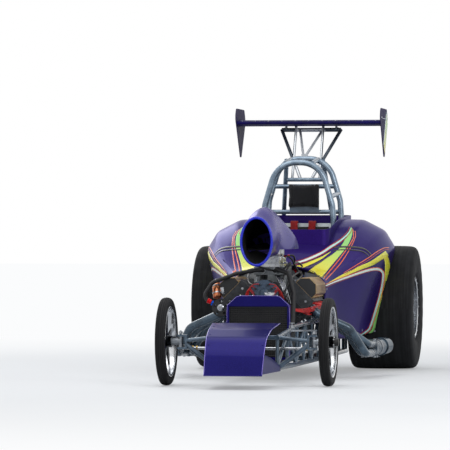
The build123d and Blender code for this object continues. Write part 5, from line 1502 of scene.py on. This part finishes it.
axle_skin = skin_of("front_axle")
bm = bmesh.new()
for side in (-1, 1):
    for high, way in ((800, -1), (-100, 1)):
        place, normal = onto(axle_skin, (side * 427, 0, high), (0, 0, way))
        lathe(
            bm, [(0, 0), (0, 16), (4, 16), (4, 13), (14, 13), (14, 6), (20, 6), (20, 0)], place, (0, 0, -way),
            segments=6, closed=False,
        )
keep(bm, "kingpin_nuts", bright_steel)
rod_low, rod_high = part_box("tie_rod")
rod_z = (rod_low[2] + rod_high[2]) * 500
bm = bmesh.new()
for side in (-1, 1):
    for reach in (70, 96):
        lathe(
            bm, [(0, 0), (0, 15), (9, 15), (9, 0)], (side * (rod_high[0] * 1000 - reach), 110, rod_z),
            (-side, 0, 0), segments=6, closed=False,
        )
keep(bm, "tie_rod_nuts", gold_zinc, body="tie_rod")

# Rear axle: cover bolts and caliper bolts
housing_skin, caliper_skin = skin_of("rear_axle_housing"), skin_of("brake_calipers")
caliper_low, caliper_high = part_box("brake_calipers")
bm = bmesh.new()
for i in range(10):
    angle = i * 2 * pi / 10 + 0.2
    place, normal = onto(housing_skin, (96 * sin(angle), 2500, REAR_Z + 96 * cos(angle)), (0, 1, 0))
    bolt(bm, place, normal, 12)
    place, normal = onto(housing_skin, (96 * sin(angle), 3500, REAR_Z + 96 * cos(angle)), (0, -1, 0))
    bolt(bm, place, normal, 12)
middle_z = (caliper_low[2] + caliper_high[2]) * 500
for side in (-1, 1):
    for dz in (-34, 34):
        place, normal = onto(caliper_skin, (side * 500, 2858, middle_z + dz), (-side, 0, 0))
        bolt(bm, place, normal, 13)
keep(bm, "rear_axle_bolts", bright_steel)

# Cockpit

# Dash with three dials, carried by two legs on the upper rails. Columns: x, radius, turn of the needle
DIALS = ((-86, 26, 0.9), (0, 38, -0.6), (86, 26, 0.4))
bm = bmesh.new()
block(bm, (0, 2142, 806), (320, 5, 104), soften=2)
block(bm, (0, 2135, 856), (320, 18, 4), soften=1.5)
for x in (-122, -100, 100, 122):
    lathe(
        bm, [(0, 0), (0, 7), (4, 6), (6, 3), (18, 3), (18, 0)], (x, 2144, 776), (0, 1, 0), segments=16,
        closed=False,
    )
keep(bm, "dash_panel", rolled_alloy)
tubes(
    "dash_legs", mirrored([[(146, 2142, 790), (162, 2142, 700), (236, 2142, 480), (249, 2142, 428)]]), 8,
    frame_paint,
)
bm = bmesh.new()
for x, size, needle in DIALS:
    lathe(
        bm, [(0, size - 5), (0, size), (8, size), (10, size - 2), (10, size - 5)], (x, 2144, 812), (0, 1, 0),
        segments=48,
    )
keep(bm, "dial_bezels", black_coat)
bm = bmesh.new()
for x, size, needle in DIALS:
    lathe(
        bm, [(0, 0), (0, size - 4.5), (3, size - 4.5), (3, 0)], (x, 2144, 812), (0, 1, 0), segments=40,
        closed=False,
    )
keep(bm, "dial_faces", dial_face)
bm = bmesh.new()
for x, size, needle in DIALS:
    for i in range(11):
        angle = radians(-130 + 26 * i)
        turn = Matrix.Rotation(-angle, 3, "Y")
        block(bm, Vector((x, 2147.6, 812)) + turn @ Vector((0, 0, size - 9)), (1.6, 1.0, 5), turn, soften=0)
    turn = Matrix.Rotation(-needle, 3, "Y")
    block(
        bm, Vector((x, 2148.6, 812)) + turn @ Vector((0, 0, size * 0.28)), (1.8, 1.0, size * 0.72), turn,
        soften=0,
    )
keep(bm, "dial_marks", dial_mark)

# Pedals on floor brackets, with ribbed pads
bm = bmesh.new()
for x in (-168, 168):
    block(bm, (x, 1772, 141), (46, 44, 20), soften=3)
    block(bm, (x, 1782, 230), (10, 16, 176), Matrix.Rotation(-0.06, 3, "X"), soften=2)
    block(bm, (x, 1794, 322), (62, 8, 84), Matrix.Rotation(-0.25, 3, "X"), soften=3)
    for k in range(5):
        block(
            bm, (x, 1799 - 2.6 * (k - 2), 322 + 15 * (k - 2)), (54, 5, 4), Matrix.Rotation(-0.25, 3, "X"),
            soften=1,
        )
    drum(bm, (x - 26, 1772, 146), (1, 0, 0), 6, 52, segments=16)
keep(bm, "pedals", machined_steel)

# Hand brake lever and its master cylinder beside the seat
tubes(
    "brake_lever", [[(-222, 2300, 140), (-222, 2262, 300), (-222, 2196, 500), (-222, 2172, 600)]], 9,
    machined_steel,
)
bm = bmesh.new()
block(bm, (-222, 2310, 144), (30, 90, 24), soften=3)
drum(bm, (-222, 2340, 160), (0, 1, 0), 14, 110, segments=28, soften=2)
lathe(
    bm, [(0, 0), (0, 19), (34, 19), (36, 22), (44, 22), (46, 18), (46, 0)], (-222, 2392, 168), (0, 0, 1),
    segments=32, closed=False,
)
keep(bm, "brake_cylinder", cast_alloy)
grooves = [(12 + 14 * k + d, r) for k in range(6) for d, r in ((0, 15.5), (4, 13.4), (8, 13.4), (12, 15.5))]
bm = bmesh.new()
lathe(bm, [(0, 0), (0, 13), (4, 15.5)] + grooves + [(100, 14), (104, 8), (104, 0)],
      (-222, 2180, 562), (0, -0.24, 0.97), segments=28, closed=False)
keep(bm, "brake_grip", black_plastic)

# Extinguisher bottle on the floor with two bands
bm = bmesh.new()
lathe(
    bm,
    [(0, 0), (3, 22), (12, 36), (28, 43), (250, 43), (268, 37), (280, 24), (288, 15), (300, 14), (300, 0)],
    (150, 2120, 181), (0, 1, 0), segments=56, closed=False,
)
keep(bm, "extinguisher_bottle", red_enamel)
bm = bmesh.new()
for y in (2170, 2320):
    lathe(bm, [(0, 42.5), (0, 45.5), (20, 45.5), (20, 42.5)], (150, y, 181), (0, 1, 0), segments=56)
    block(bm, (150, y + 10, 138), (70, 26, 10), soften=2)
lathe(
    bm, [(0, 0), (0, 16), (16, 16), (18, 10), (30, 10), (30, 0)], (150, 2418, 181), (0, 1, 0), segments=24,
    closed=False,
)
block(bm, (150, 2440, 200), (12, 34, 24), soften=2)
keep(bm, "bottle_bands", bright_steel)

# Steering wheel: hub ring with its screws, and the cap
CENTRE, FACE = Vector((0, 2352, 874)), Vector((0, 0.7505, 0.6609))
RISE = Vector((0, -0.6609, 0.7505))
bm = bmesh.new()
lathe(bm, [(8, 20), (8, 34), (13, 34), (15, 30), (15, 20)], CENTRE, FACE, segments=40)
for i in range(6):
    angle = i * pi / 3
    bolt(bm, CENTRE + Vector((1, 0, 0)) * 27 * cos(angle) + RISE * 27 * sin(angle) + FACE * 13, FACE, 7)
keep(bm, "steering_hub_ring", carb_alloy, body="steering_wheel")
bm = bmesh.new()
lathe(bm, [(0, 0), (0, 19), (18, 18), (24, 14), (26, 0)], CENTRE + FACE * 9, FACE, segments=36, closed=False)
keep(bm, "steering_hub_cap", black_plastic, body="steering_wheel")

# Seat, head pad and parachute pack

PUFF_FRAMES = 20


def stuffed(bm, name, node, cloth, limit):
    """Pad blown up by a cloth simulation from a slightly small form, held inside its node's box."""
    scene, graph = bpy.context.scene, bpy.context.evaluated_depsgraph_get
    piece = keep(bm, name, cloth, turn=180, stands_for=[node])
    even = piece.modifiers.new("even_mesh", "REMESH")
    even.mode = "VOXEL"
    even.voxel_size = 0.008
    piece.data = bpy.data.meshes.new_from_object(piece.evaluated_get(graph()))
    piece.modifiers.clear()
    start = [v.co.copy() for v in piece.data.vertices]
    puff = piece.modifiers.new("puff", "CLOTH")
    puff.settings.use_pressure = True
    puff.settings.uniform_pressure_force = 4.0
    puff.settings.effector_weights.gravity = 0.0
    puff.settings.quality = 3
    puff.point_cache.frame_start, puff.point_cache.frame_end = 1, PUFF_FRAMES
    for step in range(1, PUFF_FRAMES + 1):
        scene.frame_set(step)
    blown = bpy.data.meshes.new_from_object(piece.evaluated_get(graph()))
    piece.modifiers.clear()
    scene.frame_set(1)
    low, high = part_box(node)
    for vert, before, after in zip(piece.data.vertices, start, blown.vertices):
        move = after.co - before
        if move.length > limit / 1000:
            move *= limit / 1000 / move.length
        vert.co = Vector(min(max(c, a - 0.002), b + 0.002) for c, a, b in zip(before + move, low, high))
    bpy.data.meshes.remove(blown)
    for face in piece.data.polygons:
        face.use_smooth = True
    rounder = piece.modifiers.new("rounder", "SUBSURF")
    rounder.levels = rounder.render_levels = 1
    piece.data = bpy.data.meshes.new_from_object(piece.evaluated_get(graph()))
    piece.modifiers.clear()
    return piece


def sewn(piece, line, width, depth):
    """Presses a sewn channel into a pad where line, a distance in millimetres from a seam, is small."""
    for vert in piece.data.vertices:
        away = line(TO_ROW.inverted() @ vert.co)
        if abs(away) < width * 2.5:
            vert.co -= vert.normal * depth / 1000 * 2.718 ** (-(away / width) ** 2)


def foam(outline, half, soften):
    """Block of foam with a side outline of (y, z) places and rounded edges, reaching half to each side."""
    bm = bmesh.new()
    pulled(bm, [(-half, y, z) for y, z in outline], (2 * half, 0, 0))
    bmesh.ops.bevel(
        bm, geom=list(bm.edges), offset=soften, offset_type="OFFSET", segments=3, profile=0.5,
        affect="EDGES", material=-1, clamp_overlap=True,
    )
    return bm


seat_outline = [(2343, 493), (2674, 475.5), (2756.5, 1013), (2734, 1013), (2655, 505), (2343, 518.5)]
seat_cushion = stuffed(
    foam(seat_outline, 188, 7), "seat_cushion", "seat_pad", pad_cloth, 7,
)
for high in (640, 760, 880):
    sewn(seat_cushion, lambda p, high=high: p.z - high, 7, 5)
for back in (2440, 2540):
    sewn(seat_cushion, lambda p, back=back: p.y - back if p.z < 560 else 1e3, 7, 4)

head_outline = [(2742, 1138), (2788, 1138), (2788, 1307), (2742, 1307)]
head_cushion = stuffed(
    foam(head_outline, 112, 12), "head_cushion", "headrest", pad_cloth, 9,
)
sewn(head_cushion, lambda p: abs(p.x) - 76, 6, 5)

pack_outline = [(3408, 571), (3612, 571), (3608, 768), (3416, 768)]
chute_pack = stuffed(
    foam(pack_outline, 96, 20), "chute_pack", "parachute_pack", pack_canvas, 10,
)
sewn(chute_pack, lambda p: p.y - 3430, 5, 6)


def webbing(bm, line, width, thick, place):
    """Flat strap along a line of two coordinates; place turns (a, b, across) into car millimetres."""
    path = smooth_line(line, max(8, len(line) * 7))
    grid = bmesh.ops.create_grid(bm, x_segments=len(path) - 1, y_segments=2, size=0.5)["verts"]
    for vert in grid:
        a, b = path[round((vert.co.x + 0.5) * (len(path) - 1))]
        vert.co = Vector(place(a, b, vert.co.y * width))
    faces = list({f for v in grid for f in v.link_faces})
    bm.normal_update()
    bmesh.ops.solidify(bm, geom=faces, thickness=thick)


# Shoulder and lap belts laid over the seat, and their buckle. Columns of the line: y, z
shoulder_line = [
    (2800, 985), (2786, 1030), (2752, 1046), (2718, 1024), (2690, 860), (2664, 690), (2640, 566),
    (2606, 538), (2560, 534),
]
bm = bmesh.new()
for x in (-64, 64):
    webbing(bm, shoulder_line, 50, 2.6,
            lambda a, b, w, x=x: (x * (1 - 0.55 * max(0, (1020 - b) / 500)) + w, a, b))
for side in (-1, 1):
    webbing(bm, [(198, 470), (194, 520), (170, 536), (110, 536), (46, 540), (22, 546)], 48, 2.6,
            lambda a, b, w, side=side: (side * a, 2590 - 0.25 * (190 - a) + w, b))
keep(bm, "harness_belts", red_webbing, turn=60)
bm = bmesh.new()
lathe(
    bm, [(0, 0), (0, 31), (4, 34), (12, 34), (16, 30), (18, 12), (22, 10), (22, 0)], (0, 2548, 541),
    (0, 0, 1), segments=44, closed=False,
)
for side in (-1, 1):
    block(bm, (side * 38, 2552, 545), (26, 44, 4), soften=1.5)
    block(bm, (side * 30, 2590, 542), (50, 26, 4), soften=1.5)
    block(bm, (side * 64, 2694, 872), (58, 8, 30), Matrix.Rotation(-0.16, 3, "X"), soften=2)
keep(bm, "harness_buckle", bright_steel)

# Straps round the parachute pack and their buckles. Columns of the line: y, z
strap_line = [
    (3396, 566), (3395, 660), (3398, 752), (3418, 779), (3510, 780), (3600, 779), (3622, 752),
    (3624, 660), (3622, 566),
]
bm = bmesh.new()
for x in (-56, 56):
    webbing(bm, strap_line, 34, 2.4, lambda a, b, w, x=x: (x + w, a, b))
keep(bm, "chute_straps", black_webbing, turn=60)
bm = bmesh.new()
for x in (-56, 56):
    block(bm, (x, 3510, 784), (44, 30, 5), soften=1.5)
    block(bm, (x, 3510, 788), (34, 5, 5), soften=1.5)
for x in (-92, 92):
    for y in (3300, 3360, 3600):
        bolt(bm, (x, y, 565), (0, 0, 1), 8)
keep(bm, "chute_buckles", bright_steel)

# Body screws, wing and tank

SCREW = [(0, 0), (0, 8), (0.8, 8), (1.6, 6), (1.2, 3), (1.2, 0)]
wing_surface = skin_of("wing")
bm = bmesh.new()
for side in (-1, 1):
    for y, z in [(1475, 300 + 72 * i) for i in range(6)] + [(1560 + 220 * i, 292) for i in range(8)]:
        place, normal = onto(shell, (side * 1000, y, z), (-side, 0, 0))
        lathe(bm, SCREW, place, normal, segments=24, closed=False)
for x in (-150, -50, 50, 150):
    place, normal = onto(shell, (x, 1478, 1200), (0, 0, -1))
    lathe(bm, SCREW, place, normal, segments=24, closed=False)
keep(bm, "body_screws", bright_steel)

bm = bmesh.new()
for x in [-480 + 96 * i for i in range(11)]:
    for y in (3030, 3350):
        place, normal = onto(wing_surface, (x, y, 2100), (0, 0, -1))
        lathe(bm, [(0, 0), (0, 5), (1.2, 4), (1.6, 0)], place, normal, segments=14, closed=False)
for side in (-1, 1):
    for y, z in ((3030, 1780), (3120, 1775), (3220, 1775), (3330, 1775), (3380, 1790)):
        bolt(bm, (side * 520, y, z), (side, 0, 0), 9)
    bolt(bm, (side * 190, 3185, 1716), (0, 0, -1), 10)
keep(bm, "wing_rivets", bright_steel)

# Stripes on the outer faces of the end plates, along the rear edge between two (y, z) corners.
# Columns: paint, nearest and furthest distance from that edge
lower, upper = Vector((3252, 1516)), Vector((3448, 1764))
run = (upper - lower).normalized()
inward = Vector((-run.y, run.x))
for paint, near, far in (("lime", 8, 62), ("yellow", 68, 88), ("white", 94, 122)):
    bm = bmesh.new()
    layer = bm.loops.layers.uv.verify()
    grid = bmesh.ops.create_grid(bm, x_segments=12, y_segments=1, size=0.5)["verts"]
    for vert in grid:
        s, t = vert.co.x + 0.5, vert.co.y + 0.5
        place = lower + (upper - lower) * (0.02 + s * 0.94) + inward * (near + (far - near) * t)
        vert.co = Vector((521.2, place.x, place.y))
    for face in bm.faces:
        for loop in face.loops:
            loop[layer].uv = ((loop.vert.co.z - 1500) / 300, 0.5)
    bm.normal_update()
    bmesh.ops.solidify(bm, geom=list(bm.faces), thickness=0.5)
    both_sides(bm)
    bmesh.ops.recalc_face_normals(bm, faces=bm.faces)
    keep(bm, "end_plate_" + paint, stripe_paints[paint])

# Tank cap with its wings, and two hold-down straps
bm = bmesh.new()
lathe(
    bm, [(0, 0), (0, 34), (4, 36), (14, 36), (17, 32), (17, 0)], (0, -250, 332), (0, 0, 1), segments=48,
    closed=False,
)
block(bm, (0, -250, 354), (60, 8, 12), soften=3)
for y in (-330, -170):
    block(bm, (0, y, 301.5), (266, 22, 3), soften=1)
    for side in (-1, 1):
        block(bm, (side * 131.6, y, 215), (3, 22, 174), soften=1)
        bolt(bm, (side * 133, y, 160), (side, 0, 0), 8)
keep(bm, "tank_straps", bright_steel)
